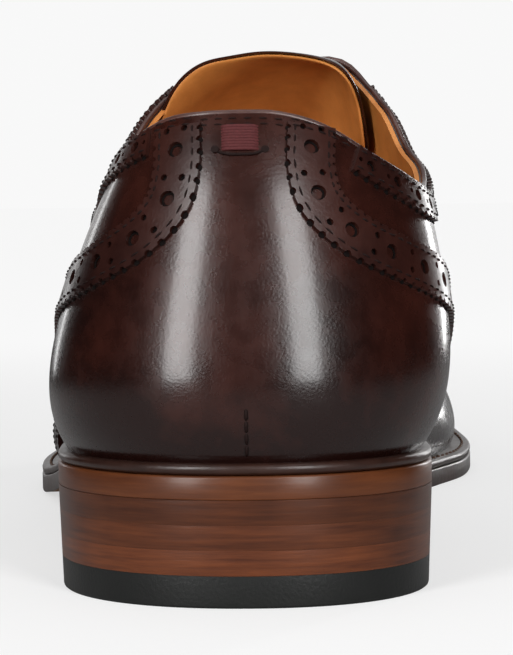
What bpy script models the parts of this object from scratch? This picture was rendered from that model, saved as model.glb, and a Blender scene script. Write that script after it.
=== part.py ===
# Brogue shoe, left foot: a hollow upper with perforated edgings, tongue, insole, welt,
# outsole and a stacked heel. Metres, +Z up, toe towards +Y, the inner side of the foot at +X.
import bpy
import bmesh
import numpy as np
from mathutils import Vector

LENGTH = 0.305
BALL_WIDTH = 0.106
HEEL_WIDTH = 0.068
WAIST_WIDTH = 0.066
TOP_PIECE = 0.0056
HEEL_STACK = 0.0130
LIFTS = 3
OUTSOLE = 0.0041
WELT = 0.0021
SEAT_HEIGHT = TOP_PIECE + HEEL_STACK + OUTSOLE + WELT
BACK_HEIGHT = 0.0600
INSTEP_HEIGHT = 0.102
TOE_SPRING = 0.0135
WELT_REACH = 0.0050
WELT_REACH_HEEL = 0.0018
WALL = 0.0022
GAP = 0.0003
CLEAR = 0.0005
BAND_WIDTH = 0.0083
COLLAR_BAND = 0.0054
BAND = 0.0011
TONGUE = 0.0020
TONGUE_GAP = 0.0018
INSOLE = 0.0038
EYELET_ROWS = 5
EYELET = 0.0036
LACE_WIDTH = 0.0058
LACE = 0.0012
HEEL_LENGTH = 0.222
HEEL_TAPER = 0.0007
# the middle of the whole shoe's outer box, which is moved over the origin
MIDDLE = (0.0001637, 0.1516589)

# The sole's outline, one row per section.
# along: share of LENGTH; follows: the width it takes; share: of half that width;
# shift: of the middle towards the inner side, share of BALL_WIDTH
SOLE = (
    (0.000, HEEL_WIDTH, 1.000, 0.048),
    (0.110, HEEL_WIDTH, 1.000, 0.033),
    (0.200, HEEL_WIDTH, 0.990, 0.018),
    (0.300, WAIST_WIDTH, 0.985, -0.020),
    (0.400, WAIST_WIDTH, 1.015, -0.055),
    (0.500, BALL_WIDTH, 0.735, -0.062),
    (0.600, BALL_WIDTH, 0.905, -0.038),
    (0.660, BALL_WIDTH, 0.977, -0.012),
    (0.720, BALL_WIDTH, 0.997, 0.004),
    (0.800, BALL_WIDTH, 1.000, 0.010),
    (0.900, BALL_WIDTH, 1.000, 0.020),
    (1.000, BALL_WIDTH, 1.000, 0.034),
)
HEEL_ROUND = 0.110
HEEL_POWER = 2.15
TOE_ROUND = 0.720
TOE_POWER = 1.85

# along: share of LENGTH; reach of the welt past the upper
REACH = ((0.00, WELT_REACH_HEEL), (0.25, WELT_REACH_HEEL), (0.40, 0.52 * WELT_REACH), (0.56, WELT_REACH), (1.00, WELT_REACH))
# along: share of LENGTH; raised: share of the heel's height under the outsole
ARCH = ((0.0, 1.0), (0.225, 1.0), (0.30, 0.83), (0.38, 0.56), (0.46, 0.28), (0.53, 0.085), (0.585, 0.0), (1.0, 0.0))
# along: share of LENGTH; raised: share of TOE_SPRING
SPRING = ((0.0, 0.0), (0.69, 0.0), (0.76, 0.05), (0.84, 0.22), (0.92, 0.54), (1.0, 1.0))

# The last, one row per section.
# along: share of LENGTH; rise: ridge above the seat, share of INSTEP_HEIGHT;
# outer, inner: fullness of each side's section; crown: fullness of the height;
# bulge_o, bulge_i: swell above the welt; ridge: share of BALL_WIDTH; lean: towards the inner side
LAST = (
    (0.00, 0.750, 2.60, 2.60, 2.00, 0.0040, 0.0040, 0.045, -0.0008),
    (0.05, 0.750, 2.50, 2.40, 2.00, 0.0050, 0.0045, 0.036, 0.0028),
    (0.13, 0.750, 2.70, 2.50, 2.00, 0.0050, 0.0045, 0.033, 0.0066),
    (0.20, 0.740, 2.80, 2.90, 2.40, 0.0046, 0.0045, 0.028, 0.0073),
    (0.27, 0.755, 2.60, 5.50, 2.90, 0.0044, 0.0057, 0.026, 0.0066),
    (0.36, 0.835, 2.40, 5.20, 2.75, 0.0050, 0.0065, 0.036, 0.0050),
    (0.46, 0.735, 2.10, 2.80, 2.10, 0.0035, 0.0050, 0.044, 0.0020),
    (0.56, 0.595, 2.00, 2.00, 1.85, 0.0025, 0.0035, 0.045, 0.0000),
    (0.66, 0.470, 2.00, 2.00, 1.90, 0.0018, 0.0020, 0.045, 0.0000),
    (0.76, 0.370, 2.15, 2.15, 2.00, 0.0016, 0.0016, 0.040, 0.0000),
    (0.86, 0.305, 2.30, 2.30, 2.15, 0.0016, 0.0016, 0.036, 0.0000),
    (1.00, 0.305, 2.30, 2.30, 2.20, 0.0016, 0.0016, 0.034, 0.0000),
)
BULGE_ANGLE = np.radians(13)
HEEL_CENTRE = 0.128
TOE_CENTRE = 0.86
TOE_SLOPE = 0.20

# round: share of the feather line from the back; outer, inner: topline above the seat, share of BACK_HEIGHT
TOPLINE = (
    (0.000, 1.000, 1.000),
    (0.025, 0.997, 0.996),
    (0.055, 0.985, 0.958),
    (0.085, 0.950, 0.872),
    (0.120, 0.900, 0.800),
    (0.190, 0.775, 0.785),
    (0.240, 0.735, 0.800),
    (0.290, 0.800, 0.880),
    (0.340, 0.980, 1.030),
    (0.370, 1.085, 1.110),
    (0.386, 1.165, 1.175),
)
CORNER = 0.400
THROAT = 0.655
FACING_GAP = 0.0050
THROAT_GAP = 0.0022

# round: share of the feather line; height: above the seat in m (middle of the heel's edging)
BACK_BAND = (
    (0.046, 0.0572),
    (0.041, 0.0500),
    (0.044, 0.0440),
    (0.060, 0.0385),
    (0.088, 0.0340),
    (0.125, 0.0300),
    (0.165, 0.0255),
    (0.205, 0.0190),
    (0.240, 0.0105),
    (0.260, 0.0030),
)
# round: share of the feather line; angle: of rise from the welt to the ridge, degrees (wing edging, foot to peak)
WING_BAND = (
    (0.532, 4.0),
    (0.560, 11.0),
    (0.600, 21.0),
    (0.650, 32.0),
    (0.700, 44.0),
    (0.738, 56.0),
    (0.750, 66.0),
    (0.742, 75.0),
    (0.722, 83.0),
    (0.704, 89.4),
)

BODY = "brogue_shoe"
for item in list(bpy.data.objects):
    bpy.data.objects.remove(item, do_unlink=True)
shoe = bpy.data.collections.new(BODY)
bpy.context.scene.collection.children.link(shoe)
cutting = bpy.data.collections.new("cutting")
bpy.context.scene.collection.children.link(cutting)


def through(table, n, at):
    """Smooth value of a table's column n at a place along its first column."""
    x = np.array([r[0] for r in table])
    y = np.array([r[n] for r in table])
    step = np.diff(x)
    d = np.diff(y) / step
    m = np.empty_like(y)
    m[1:-1] = (d[:-1] * step[1:] + d[1:] * step[:-1]) / (x[2:] - x[:-2])
    m[0], m[-1] = d[0], d[-1]
    m[1:-1][d[:-1] * d[1:] <= 0] = 0
    at = np.clip(np.asarray(at, float), x[0], x[-1])
    i = np.clip(np.searchsorted(x, at, side="right") - 1, 0, len(x) - 2)
    h = x[i + 1] - x[i]
    t = (at - x[i]) / h
    return ((2 * t**3 - 3 * t**2 + 1) * y[i] + (t**3 - 2 * t**2 + t) * h * m[i]
            + (-2 * t**3 + 3 * t**2) * y[i + 1] + (t**3 - t**2) * h * m[i + 1])


SOLE_HALF = [(r[0], r[1] / 2 * r[2], r[3] * BALL_WIDTH) for r in SOLE]


def outline(side, a):
    """Points of the sole's edge at shares a of the length; side -1 outer, +1 inner."""
    half = through(SOLE_HALF, 1, a)
    u = np.clip((HEEL_ROUND - a) / HEEL_ROUND, 0, 1)
    v = np.clip((a - TOE_ROUND) / (1 - TOE_ROUND), 0, 1)
    half = half * (1 - u**HEEL_POWER) ** (1 / HEEL_POWER) * np.sqrt(1 - v**TOE_POWER)
    return np.stack([through(SOLE_HALF, 2, a) + side * half, a * LENGTH], -1)


def inset(points, side, amount):
    """Points of an outline moved inwards."""
    t = np.gradient(points, axis=0)
    t[0] = (side, 0)
    t[-1] = (-side, 0)
    t /= np.linalg.norm(t, axis=1)[:, None]
    return points + np.stack([-t[:, 1], t[:, 0]], 1) * side * np.broadcast_to(amount, len(points))[:, None]


def underside(y):
    return (through(ARCH, 1, y / LENGTH) * (TOP_PIECE + HEEL_STACK) + through(SPRING, 1, y / LENGTH) * TOE_SPRING)


def seat(y):
    return underside(y) + OUTSOLE + WELT


FINE = (1 - np.cos(np.pi * np.linspace(0, 1, 801))) / 2
FEATHER = {}
for side in (-1, 1):
    edge = outline(side, FINE)
    line = inset(edge, side, through(REACH, 1, FINE))
    run = np.concatenate([[0], np.cumsum(np.linalg.norm(np.diff(line, axis=0), axis=1))])
    FEATHER[side] = (line, run / run[-1], run[-1])


def feather(side, c):
    line, run, total = FEATHER[side]
    return np.stack([np.interp(c, run, line[:, 0]), np.interp(c, run, line[:, 1])], -1)


def row(a, name):
    order = ("along", "rise", "outer", "inner", "crown", "bulge_o", "bulge_i", "ridge", "lean")
    return through(LAST, order.index(name), a)


def ridge_rise(y):
    a = y / LENGTH
    return row(np.minimum(a, TOE_CENTRE), "rise") * INSTEP_HEIGHT + TOE_SLOPE * np.minimum(0, TOE_CENTRE - a) * LENGTH


def last(side, c, angle):
    """Points of the upper's outer face: c round the feather line, angle from welt (0) to ridge."""
    c, angle = np.broadcast_arrays(np.asarray(c, float), np.asarray(angle, float))
    foot = feather(side, c)
    a = foot[..., 1] / LENGTH
    mid = np.clip(a, HEEL_CENTRE, TOE_CENTRE)
    centre = np.stack([row(mid, "ridge") * BALL_WIDTH, mid * LENGTH], -1)
    full = row(a, "outer" if side < 0 else "inner")
    swell = row(a, "bulge_o" if side < 0 else "bulge_i")
    out = foot - centre
    width = np.maximum(np.linalg.norm(out, axis=-1), 1e-9)
    q = angle / BULGE_ANGLE
    reach = np.clip(np.cos(angle), 0, 1) ** (2 / full) + swell * q * np.exp(1 - q) / width
    xy = centre + out * reach[..., None]
    up = ridge_rise(xy[..., 1]) * np.sin(angle) ** (2 / row(a, "crown"))
    return np.stack([xy[..., 0] + row(a, "lean") * up / BACK_HEIGHT, xy[..., 1], seat(xy[..., 1]) + up], -1)


def normal(side, c, angle):
    """Outward direction of the upper at a place."""
    c, angle = np.broadcast_arrays(np.asarray(c, float), np.asarray(angle, float))
    c0, c1 = np.clip(c - 0.002, 0, 1), np.clip(c + 0.002, 0, 1)
    t0, t1 = np.clip(angle - 0.004, 0, np.pi / 2), np.clip(angle + 0.004, 0, np.pi / 2)
    along = last(side, c1, angle) - last(side, c0, angle)
    rise = last(side, c, t1) - last(side, c, t0)
    n = np.cross(along, rise) * side
    size = np.linalg.norm(n, axis=-1)
    n = np.where(size[..., None] < 1e-12, np.array([0.0, 0.0, 1.0]), n / np.maximum(size, 1e-12)[..., None])
    flat = (c < 0.004)[..., None] | ((angle > np.pi / 2 - 0.02) & (c < 0.95))[..., None]
    n = np.where(flat, n * np.array([0.0, 1.0, 1.0]), n)
    return n / np.maximum(np.linalg.norm(n, axis=-1), 1e-9)[..., None]


def off(side, c, angle, distance):
    return last(side, c, angle) + normal(side, c, angle) * np.asarray(distance)[..., None]


def facing_angle(side, c, more=0.0):
    foot = feather(side, c)
    a = foot[..., 1] / LENGTH
    width = np.abs(foot[..., 0] - row(a, "ridge") * BALL_WIDTH)
    u = np.clip((c - CORNER) / (THROAT - CORNER), 0, 1)
    gap = (FACING_GAP + (THROAT_GAP - FACING_GAP) * u) * np.sqrt(np.clip(1 - u**12, 0, 1))
    return np.arccos(np.clip((gap + more) / width, 0, 1) ** (row(a, "outer" if side < 0 else "inner") / 2))


def edge_angle(side, c):
    """Rise angle where the upper ends: the topline, the facing, or the ridge past the throat."""
    c = np.asarray(c, float)
    rows = np.array([r[0] for r in TOPLINE])
    tall = np.array([r[1 if side < 0 else 2] for r in TOPLINE]) * BACK_HEIGHT + SEAT_HEIGHT
    y = feather(side, rows)[:, 1]
    crown = row(y / LENGTH, "crown")
    rise = ridge_rise(np.maximum(y, HEEL_CENTRE * LENGTH))
    angles = np.arcsin(np.clip((tall - seat(y)) / rise, 0, 1) ** (crown / 2))
    table = list(zip(rows, angles)) + [(CORNER, float(facing_angle(side, np.array(CORNER))))]
    top = through(table, 1, np.minimum(c, CORNER))
    front = facing_angle(side, np.clip(c, CORNER, THROAT))
    return np.where(c <= CORNER, top, np.where(c >= THROAT, np.pi / 2, front))


def solid(name, verts, faces, colour, rough=0.45, smooth=True, merge=5e-5):
    """One closed mesh object with its own material, its middle moved over the origin."""
    mesh = bpy.data.meshes.new(name)
    verts = np.asarray(verts, float).copy()
    verts[:, :2] -= MIDDLE
    mesh.from_pydata(verts.tolist(), [], faces)
    bm = bmesh.new()
    bm.from_mesh(mesh)
    bmesh.ops.remove_doubles(bm, verts=bm.verts, dist=merge)
    bmesh.ops.recalc_face_normals(bm, faces=bm.faces)
    bm.to_mesh(mesh)
    bm.free()
    for p in mesh.polygons:
        p.use_smooth = smooth
    material = bpy.data.materials.new(name)
    material.use_nodes = True
    shader = material.node_tree.nodes["Principled BSDF"]
    shader.inputs["Base Color"].default_value = (*colour, 1)
    shader.inputs["Roughness"].default_value = rough
    mesh.materials.append(material)
    thing = bpy.data.objects.new(name, mesh)
    shoe.objects.link(thing)
    return thing


def block(grid_out, grid_in):
    """Vertices and faces of a patch with thickness: two equal grids joined round the rim."""
    n, m = grid_out.shape[:2]
    verts = np.concatenate([grid_out.reshape(-1, 3), grid_in.reshape(-1, 3)])
    size = n * m
    faces = []
    for i in range(n - 1):
        for j in range(m - 1):
            a, b, c, d = i * m + j, (i + 1) * m + j, (i + 1) * m + j + 1, i * m + j + 1
            faces.append((a, b, c, d))
            faces.append((a + size, d + size, c + size, b + size))
    for i in range(n - 1):
        for j in (0, m - 1):
            a, b = i * m + j, (i + 1) * m + j
            faces.append((a, a + size, b + size, b))
    for j in range(m - 1):
        for i in (0, n - 1):
            a, b = i * m + j, i * m + j + 1
            faces.append((a, b, b + size, a + size))
    return verts, faces


LEATHER = (0.045, 0.017, 0.014)
LINING = (0.36, 0.15, 0.045)
EDGE = (0.05, 0.022, 0.016)
STACK = (0.17, 0.065, 0.03)
RUBBER = (0.018, 0.018, 0.018)
LACING = (0.03, 0.014, 0.011)

# Upper: one shell, both sides welded at the back seam and along the vamp's ridge
ROUND = np.array([0, .018, .036, .055, .075, .10, .125, .15, .175, .20, .225, .25, .275, .30, .325, .35, .368, .385, CORNER,
                  .425, .45, .475, .50, .525, .55, .575, .60, .622, .641, THROAT, .67, .69, .72, .75, .78, .81, .835,
                  .86, .885, .91, .935, .96, .98, 1.0])
RISE = np.array([0, .035, .08, .14, .22, .32, .43, .55, .67, .78, .88, .95, 1.0])
shells = {}
for side in (-1, 1):
    c = ROUND[:, None]
    angle = edge_angle(side, ROUND)[:, None] * RISE[None]
    outer = off(side, c, angle, np.zeros(angle.shape))
    inner = off(side, c, angle, np.full(angle.shape, -WALL))
    outer[:, 0, 2] += GAP
    inner[:, 0, 2] = outer[:, 0, 2]
    pole = feather(side, ROUND)[:, 1] >= TOE_CENTRE * LENGTH
    inner[pole, -1] = outer[pole, -1] - np.array([0, 0, WALL])
    shells[side] = (outer, inner)
throat = int(np.argmin(np.abs(ROUND - THROAT)))
for k in (0, 1):
    for where in (np.s_[0, :], np.s_[-1, :], np.s_[throat:, -1]):
        shared = (shells[-1][k][where] + shells[1][k][where]) / 2
        shells[-1][k][where] = shared
        shells[1][k][where] = shared
verts, faces = [], []
n, m = len(ROUND), len(RISE)
size = n * m
for side in (-1, 1):
    start = len(verts)
    for grid in shells[side]:
        verts += grid.reshape(-1, 3).tolist()
    for i in range(n - 1):
        for j in range(m - 1):
            a, b, p, q = (start + k for k in (i * m + j, (i + 1) * m + j, (i + 1) * m + j + 1, i * m + j + 1))
            faces.append((a, b, p, q))
            faces.append((a + size, q + size, p + size, b + size))
        a, b = start + i * m, start + (i + 1) * m
        faces.append((a, a + size, b + size, b))
        if i < throat:
            a, b = a + m - 1, b + m - 1
            faces.append((a, b, b + size, a + size))
upper = solid("upper", verts, faces, LEATHER, 0.32)

# Eyelet holes, square to the facing
eyelets = []
for k in range(EYELET_ROWS):
    c = CORNER + 0.020 + (THROAT - CORNER - 0.058) * k / (EYELET_ROWS - 1)
    for side in (-1, 1):
        c_ = float(np.interp(0, [0], [c]))
        angles = np.linspace(float(edge_angle(side, c_)), 0.4, 200)
        walk = last(side, np.full(200, c_), angles)
        run = np.concatenate([[0], np.cumsum(np.linalg.norm(np.diff(walk, axis=0), axis=1))])
        angle = float(np.interp(0.0090, run, angles))
        eyelets.append((side, c_, angle, last(side, c_, angle), normal(side, c_, angle)))


def drill(thing, spots, radius):
    """Cuts round holes through a piece."""
    bm = bmesh.new()
    for spot, way in spots:
        turn = Vector(way.tolist()).to_track_quat("Z", "Y").to_matrix().to_4x4()
        turn.translation = Vector((spot[0] - MIDDLE[0], spot[1] - MIDDLE[1], spot[2]))
        bmesh.ops.create_cone(bm, cap_ends=True, segments=10, radius1=radius, radius2=radius, depth=0.014, matrix=turn)
    mesh = bpy.data.meshes.new(thing.name + "_holes")
    bm.to_mesh(mesh)
    bm.free()
    cutter = bpy.data.objects.new(thing.name + "_holes", mesh)
    cutting.objects.link(cutter)
    cutter.hide_render = True
    cutter.display_type = "WIRE"
    cut = thing.modifiers.new("holes", "BOOLEAN")
    cut.operation = "DIFFERENCE"
    cut.solver = "EXACT"
    cut.object = cutter
    for o in bpy.context.selected_objects:
        o.select_set(False)
    bpy.context.view_layer.objects.active = thing
    thing.select_set(True)
    bpy.ops.object.modifier_apply(modifier="holes")


drill(upper, [(e[3], e[4]) for e in eyelets], EYELET / 2)


# Edgings: a strip of even width lying just off the upper along a path of (side, c, angle)
def strip(side, c, angle, half, low, high, across=3, mitre=False):
    """Two grids of a strip that follows a path on the upper."""
    c, angle = np.asarray(c, float), np.asarray(angle, float)
    e = 1e-4
    dc = (last(side, np.clip(c + e, 0, 1), angle) - last(side, np.clip(c - e, 0, 1), angle)) / (2 * e)
    da = (last(side, c, angle) - last(side, c, angle - e)) / e
    dp = dc * np.gradient(c)[:, None] + da * np.gradient(angle)[:, None]
    n = normal(side, c, angle)
    way = dp / np.linalg.norm(dp, axis=1)[:, None]
    cross = np.cross(n, way)
    g11, g12, g22 = (dc * dc).sum(1), (dc * da).sum(1), (da * da).sum(1)
    r1, r2 = (dc * cross).sum(1), (da * cross).sum(1)
    det = g11 * g22 - g12**2
    vc, va = (r1 * g22 - r2 * g12) / det, (r2 * g11 - r1 * g12) / det
    if mitre:
        vc[-1], va[-1] = vc[-1] * 1.1, 0.0
    t = np.linspace(-half, half, across)
    cc = np.clip(c[:, None] + vc[:, None] * t, 0, 1)
    aa = np.clip(angle[:, None] + va[:, None] * t, 0.03, np.pi / 2)
    return off(side, cc, aa, np.full(cc.shape, high)), off(side, cc, aa, np.full(cc.shape, low)), cc, aa


def spread(table, count):
    """Even steps along a short table of two columns."""
    t = np.linspace(0, 1, len(table))
    s = np.linspace(0, 1, count)
    pairs = [(a,) + tuple(r) for a, r in zip(t, table)]
    return through(pairs, 1, s), through(pairs, 2, s)


def angle_at(side, c, height):
    y = feather(side, c)[..., 1]
    y = np.maximum(y, 0.010)
    return np.arcsin(np.clip(height / ridge_rise(y), 0, 1) ** (row(y / LENGTH, "crown") / 2))


for side, word in ((-1, "outer"), (1, "inner")):
    c, height = spread(BACK_BAND, 30)
    grid = strip(side, c, angle_at(side, c, height), BAND_WIDTH / 2, CLEAR, CLEAR + BAND)
    solid("heel_edging_" + word, *block(grid[0], grid[1]), LEATHER, 0.35)
    c = np.linspace(0.070, CORNER - 0.014, 30)
    top = edge_angle(side, c)
    e = 1e-3
    per = np.linalg.norm(last(side, c, top) - last(side, c, top - e), axis=1) / e
    low = top - (COLLAR_BAND + 0.0006) / per
    cc = np.repeat(c[:, None], 3, 1)
    aa = np.stack([low, (low + top) / 2 - 0.0002 / per, top - 0.0006 / per], 1)
    solid("collar_edging_" + word, *block(off(side, cc, aa, np.full(cc.shape, CLEAR + BAND)),
                                          off(side, cc, aa, np.full(cc.shape, CLEAR))), LEATHER, 0.35)

grids = []
for side in (-1, 1):
    c, angle = spread(WING_BAND, 26)
    grids.append(strip(side, c, np.radians(angle), BAND_WIDTH / 2, CLEAR, CLEAR + BAND, mitre=True))
peak = [(grids[0][k][-1:] + grids[1][k][-1:, ::-1]) / 2 for k in (0, 1)]
whole = [np.concatenate([grids[0][k][:-1], peak[k], grids[1][k][:-1][::-1, ::-1]]) for k in (0, 1)]
solid("wing_edging", *block(whole[0], whole[1]), LEATHER, 0.35)

# Facings: a doubled edge beside the lacing, drilled with the upper
for side, word in ((-1, "outer"), (1, "inner")):
    c = np.linspace(CORNER + 0.012, THROAT - 0.020, 16)
    cc = np.repeat(c[:, None], 5, 1)
    aa = np.empty(cc.shape)
    for i, c_ in enumerate(c):
        angles = np.linspace(float(edge_angle(side, c_)), 0.3, 200)
        walk = last(side, np.full(200, c_), angles)
        run = np.concatenate([[0], np.cumsum(np.linalg.norm(np.diff(walk, axis=0), axis=1))])
        aa[i] = np.interp([0.0200, 0.0155, 0.0105, 0.0055, 0.0008], run, angles)
    facing = solid("facing_" + word, *block(off(side, cc, aa, np.full(cc.shape, CLEAR + BAND)),
                                            off(side, cc, aa, np.full(cc.shape, CLEAR))), LEATHER, 0.35)
    drill(facing, [(e_[3], e_[4]) for e_ in eyelets if e_[0] == side], EYELET / 2)

# Laces: one straight bar per row of eyelets
for k in range(EYELET_ROWS):
    left, right = eyelets[2 * k], eyelets[2 * k + 1]
    path, ups = [], []
    for side, c_, angle in ((-1, left[1], left[2]), (1, right[1], right[2])):
        angles = np.linspace(angle, float(edge_angle(side, c_)) - 0.01, 4)
        if side > 0:
            angles = angles[::-1]
        path.append(last(side, np.full(4, c_), angles))
        ups.append(normal(side, np.full(4, c_), angles))
    path, ups = np.concatenate(path), np.concatenate(ups)
    way = np.gradient(path, axis=0)
    way /= np.linalg.norm(way, axis=1)[:, None]
    across = np.cross(ups, way)
    across /= np.linalg.norm(across, axis=1)[:, None]
    base = path + ups * (CLEAR + BAND + GAP)
    high = base + ups * LACE
    w = np.array([-0.5, 0.5]) * LACE_WIDTH
    top = high[:, None] + across[:, None] * w[None, :, None]
    low = base[:, None] + across[:, None] * w[None, :, None]
    solid("lace_bar_%d" % (k + 1), *block(top, low), LACING, 0.6)

# Tongue: a sheet under the facings, its rounded top standing clear of them
ACROSS = np.linspace(-1, 1, 13)
# back: along the foot at the middle; curl: further forward at the edges; raised: share of TONGUE_RAISE
TONGUE_ROWS = (
    (0.228, 0.000, 0.00),
    (0.214, 0.000, 0.00),
    (0.200, 0.000, 0.00),
    (0.186, 0.000, 0.00),
    (0.172, 0.000, 0.00),
    (0.158, 0.000, 0.00),
    (0.145, 0.000, 0.00),
    (0.133, 0.001, 0.00),
    (0.122, 0.003, 0.00),
    (0.115, 0.005, 0.00),
    (0.110, 0.005, 0.05),
    (0.106, 0.006, 0.40),
    (0.102, 0.007, 1.00),
)
# share across from the outer edge to the inner; raised: at the top row, m
TONGUE_RAISE = ((-1.0, 0.0), (-0.8, 0.0036), (-0.6, 0.0042), (-0.4, 0.0024), (-0.2, 0.0016), (0.0, 0.0008),
                (0.2, -0.0006), (0.4, -0.0026), (0.6, -0.0018), (0.8, 0.0), (1.0, 0.0))
# along the foot, m; half width over the instep, m
TONGUE_WIDE = ((0.103, 0.036), (0.125, 0.034), (0.145, 0.0285), (0.170, 0.0245), (0.210, 0.021), (0.230, 0.016))
sheet = []
for depth in (WALL + TONGUE_GAP, WALL + TONGUE_GAP + TONGUE):
    lines = []
    for back, curl, lift in TONGUE_ROWS:
        wide = through(TONGUE_WIDE, 1, back)
        pts = []
        for s in ACROSS:
            side = -1 if s < 0 else 1
            line, run, total = FEATHER[side]
            c_ = float(np.interp(back + curl * s * s, line[:, 1], run))
            angles = np.linspace(np.pi / 2, 0.25, 240)
            walk = last(side, np.full(240, c_), angles)
            length = np.concatenate([[0], np.cumsum(np.linalg.norm(np.diff(walk, axis=0), axis=1))])
            angle = float(np.interp(abs(s) * wide, length, angles))
            point = off(side, c_, min(angle, np.pi / 2 - 1e-7), np.array(-depth))
            pts.append(point + np.array([0, 0, lift * through(TONGUE_RAISE, 1, s)]))
        lines.append(pts)
    lines = np.array(lines)
    ridge = len(ACROSS) // 2
    lines[:, ridge, 0] = (lines[:, ridge - 1, 0] + lines[:, ridge + 1, 0]) / 2
    sheet.append(lines)
solid("tongue", *block(sheet[0], sheet[1]), LINING, 0.5)

# Sole pieces: ladders across the outline
STATIONS = (1 - np.cos(np.pi * np.linspace(0, 1, 49))) / 2


def plank(name, left, right, low, high, colour, rough):
    """A plate between two edges that share their ends; low and high give heights at y."""
    ring = []
    for edge in (left, right):
        ring.append(edge)
    n = len(left)
    grid_high = np.stack([np.column_stack([e, high(e[:, 1])]) for e in ring], 1)
    grid_low = np.stack([np.column_stack([e, low(e[:, 1])]) for e in ring], 1)
    v = np.concatenate([grid_high.reshape(-1, 3), grid_low.reshape(-1, 3)])
    size = 2 * n
    f = []
    for i in range(n - 1):
        a, b, c, d = 2 * i, 2 * i + 2, 2 * i + 3, 2 * i + 1
        f += [(a, b, c, d), (a + size, d + size, c + size, b + size), (a, a + size, b + size, b), (d, c, c + size, d + size)]
    for a, d in ((0, 1), (2 * n - 2, 2 * n - 1)):
        f.append((a, d, d + size, a + size))
    return solid(name, v, f, colour, rough, smooth=False)


edges = {s: outline(s, STATIONS) for s in (-1, 1)}
plank("outsole", edges[-1], edges[1], underside, lambda y: underside(y) + OUTSOLE, EDGE, 0.4)

# Welt: a ring from the sole's edge to just inside the upper's wall
verts, faces = [], []
loop = []
for side in (-1, 1):
    far = edges[side]
    near = inset(far, side, through(REACH, 1, STATIONS) + WALL + GAP)
    part = np.stack([far, near], 1)
    loop.append(part if side < 0 else part[::-1][1:-1])
loop = np.concatenate(loop)
count = len(loop)
for k in (0, 1):
    for high in (0, 1):
        y = loop[:, k, 1]
        z = underside(np.clip(y, 0, LENGTH)) + OUTSOLE + (WELT if high else GAP)
        verts += np.column_stack([loop[:, k], z]).tolist()
for i in range(count):
    j = (i + 1) % count
    for p, q in ((0, 1), (1, 3), (3, 2), (2, 0)):
        faces.append((p * count + i, p * count + j, q * count + j, q * count + i))
solid("welt", verts, faces, EDGE, 0.4, smooth=False, merge=1e-6)

# Insole: the floor of the shoe, inside the welt and the wall
inside = {s: inset(edges[s], s, through(REACH, 1, STATIONS) + WALL + 3 * GAP) for s in (-1, 1)}
plank("insole", inside[-1], inside[1], lambda y: underside(y) + OUTSOLE + GAP,
      lambda y: underside(y) + OUTSOLE + GAP + INSOLE, LINING, 0.5)

# Heel: lifts and the rubber top piece, flat and flush, closed by a straight breast
TURN = HEEL_LENGTH * (1 - np.cos(np.pi / 2 * np.linspace(0, 1, 20)))


def heel_ring(drop):
    share = drop / (TOP_PIECE + HEEL_STACK)
    rings = [inset(outline(s, TURN), s, HEEL_TAPER * share) for s in (-1, 1)]
    for r in rings:
        r[-1] = (r[-2, 0] + (r[-1, 0] - r[-2, 0]) * 0.9, HEEL_LENGTH * LENGTH)
    mid = (rings[0][0] + rings[1][0]) / 2
    rings[0][0] = rings[1][0] = mid
    return np.concatenate([rings[0][::-1], rings[1][1:]])


def heel_piece(name, low, high, colour, rough):
    total = TOP_PIECE + HEEL_STACK
    top, bottom = heel_ring(total - high), heel_ring(total - low)
    n = len(top)
    v = np.concatenate([np.column_stack([top, np.full(n, high)]), np.column_stack([bottom, np.full(n, low)])])
    f = [tuple(range(n)), tuple(range(2 * n - 1, n - 1, -1))]
    f += [(i, (i + 1) % n, n + (i + 1) % n, n + i) for i in range(n)]
    return solid(name, v, f, colour, rough, smooth=False)


heel_piece("top_piece", 0.0, TOP_PIECE, RUBBER, 0.6)
for k in range(LIFTS):
    low = TOP_PIECE + HEEL_STACK * k / LIFTS
    heel_piece("heel_lift_%d" % (k + 1), low, TOP_PIECE + HEEL_STACK * (k + 1) / LIFTS, STACK, 0.45)
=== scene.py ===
import bpy
import numpy as np
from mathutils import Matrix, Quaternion, Vector, geometry


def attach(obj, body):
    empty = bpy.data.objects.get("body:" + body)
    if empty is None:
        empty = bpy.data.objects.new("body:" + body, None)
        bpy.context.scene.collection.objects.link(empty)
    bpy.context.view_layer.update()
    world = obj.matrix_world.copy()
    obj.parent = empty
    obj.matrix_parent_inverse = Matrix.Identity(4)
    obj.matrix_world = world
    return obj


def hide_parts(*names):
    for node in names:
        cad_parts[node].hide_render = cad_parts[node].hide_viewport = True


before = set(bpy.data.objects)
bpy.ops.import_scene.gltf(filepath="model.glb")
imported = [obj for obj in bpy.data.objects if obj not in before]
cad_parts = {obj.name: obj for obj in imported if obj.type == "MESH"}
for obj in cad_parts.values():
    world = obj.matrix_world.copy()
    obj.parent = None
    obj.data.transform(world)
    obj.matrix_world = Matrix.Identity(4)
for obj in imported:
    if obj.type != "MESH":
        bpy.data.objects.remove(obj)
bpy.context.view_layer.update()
bpy.ops.object.select_all(action="DESELECT")

# Insole
# The board that the shoe is lasted on, with a tan leather sock glued over it. It is cut to the
# feather line, the line where the upper turns in, and lies inside the welt.
LENGTH = 0.305
BALL_WIDTH = 0.106
HEEL_WIDTH = 0.068
WAIST_WIDTH = 0.066
HEEL_UNDER = 0.0186
OUTSOLE_THICK = 0.0041
WELT_THICK = 0.0021
TOE_SPRING = 0.0135
WELT_REACH = 0.0050
HEEL_REACH = 0.0018
WALL = 0.0022
MIDDLE = np.array([0.0001637, 0.1516589])
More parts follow.
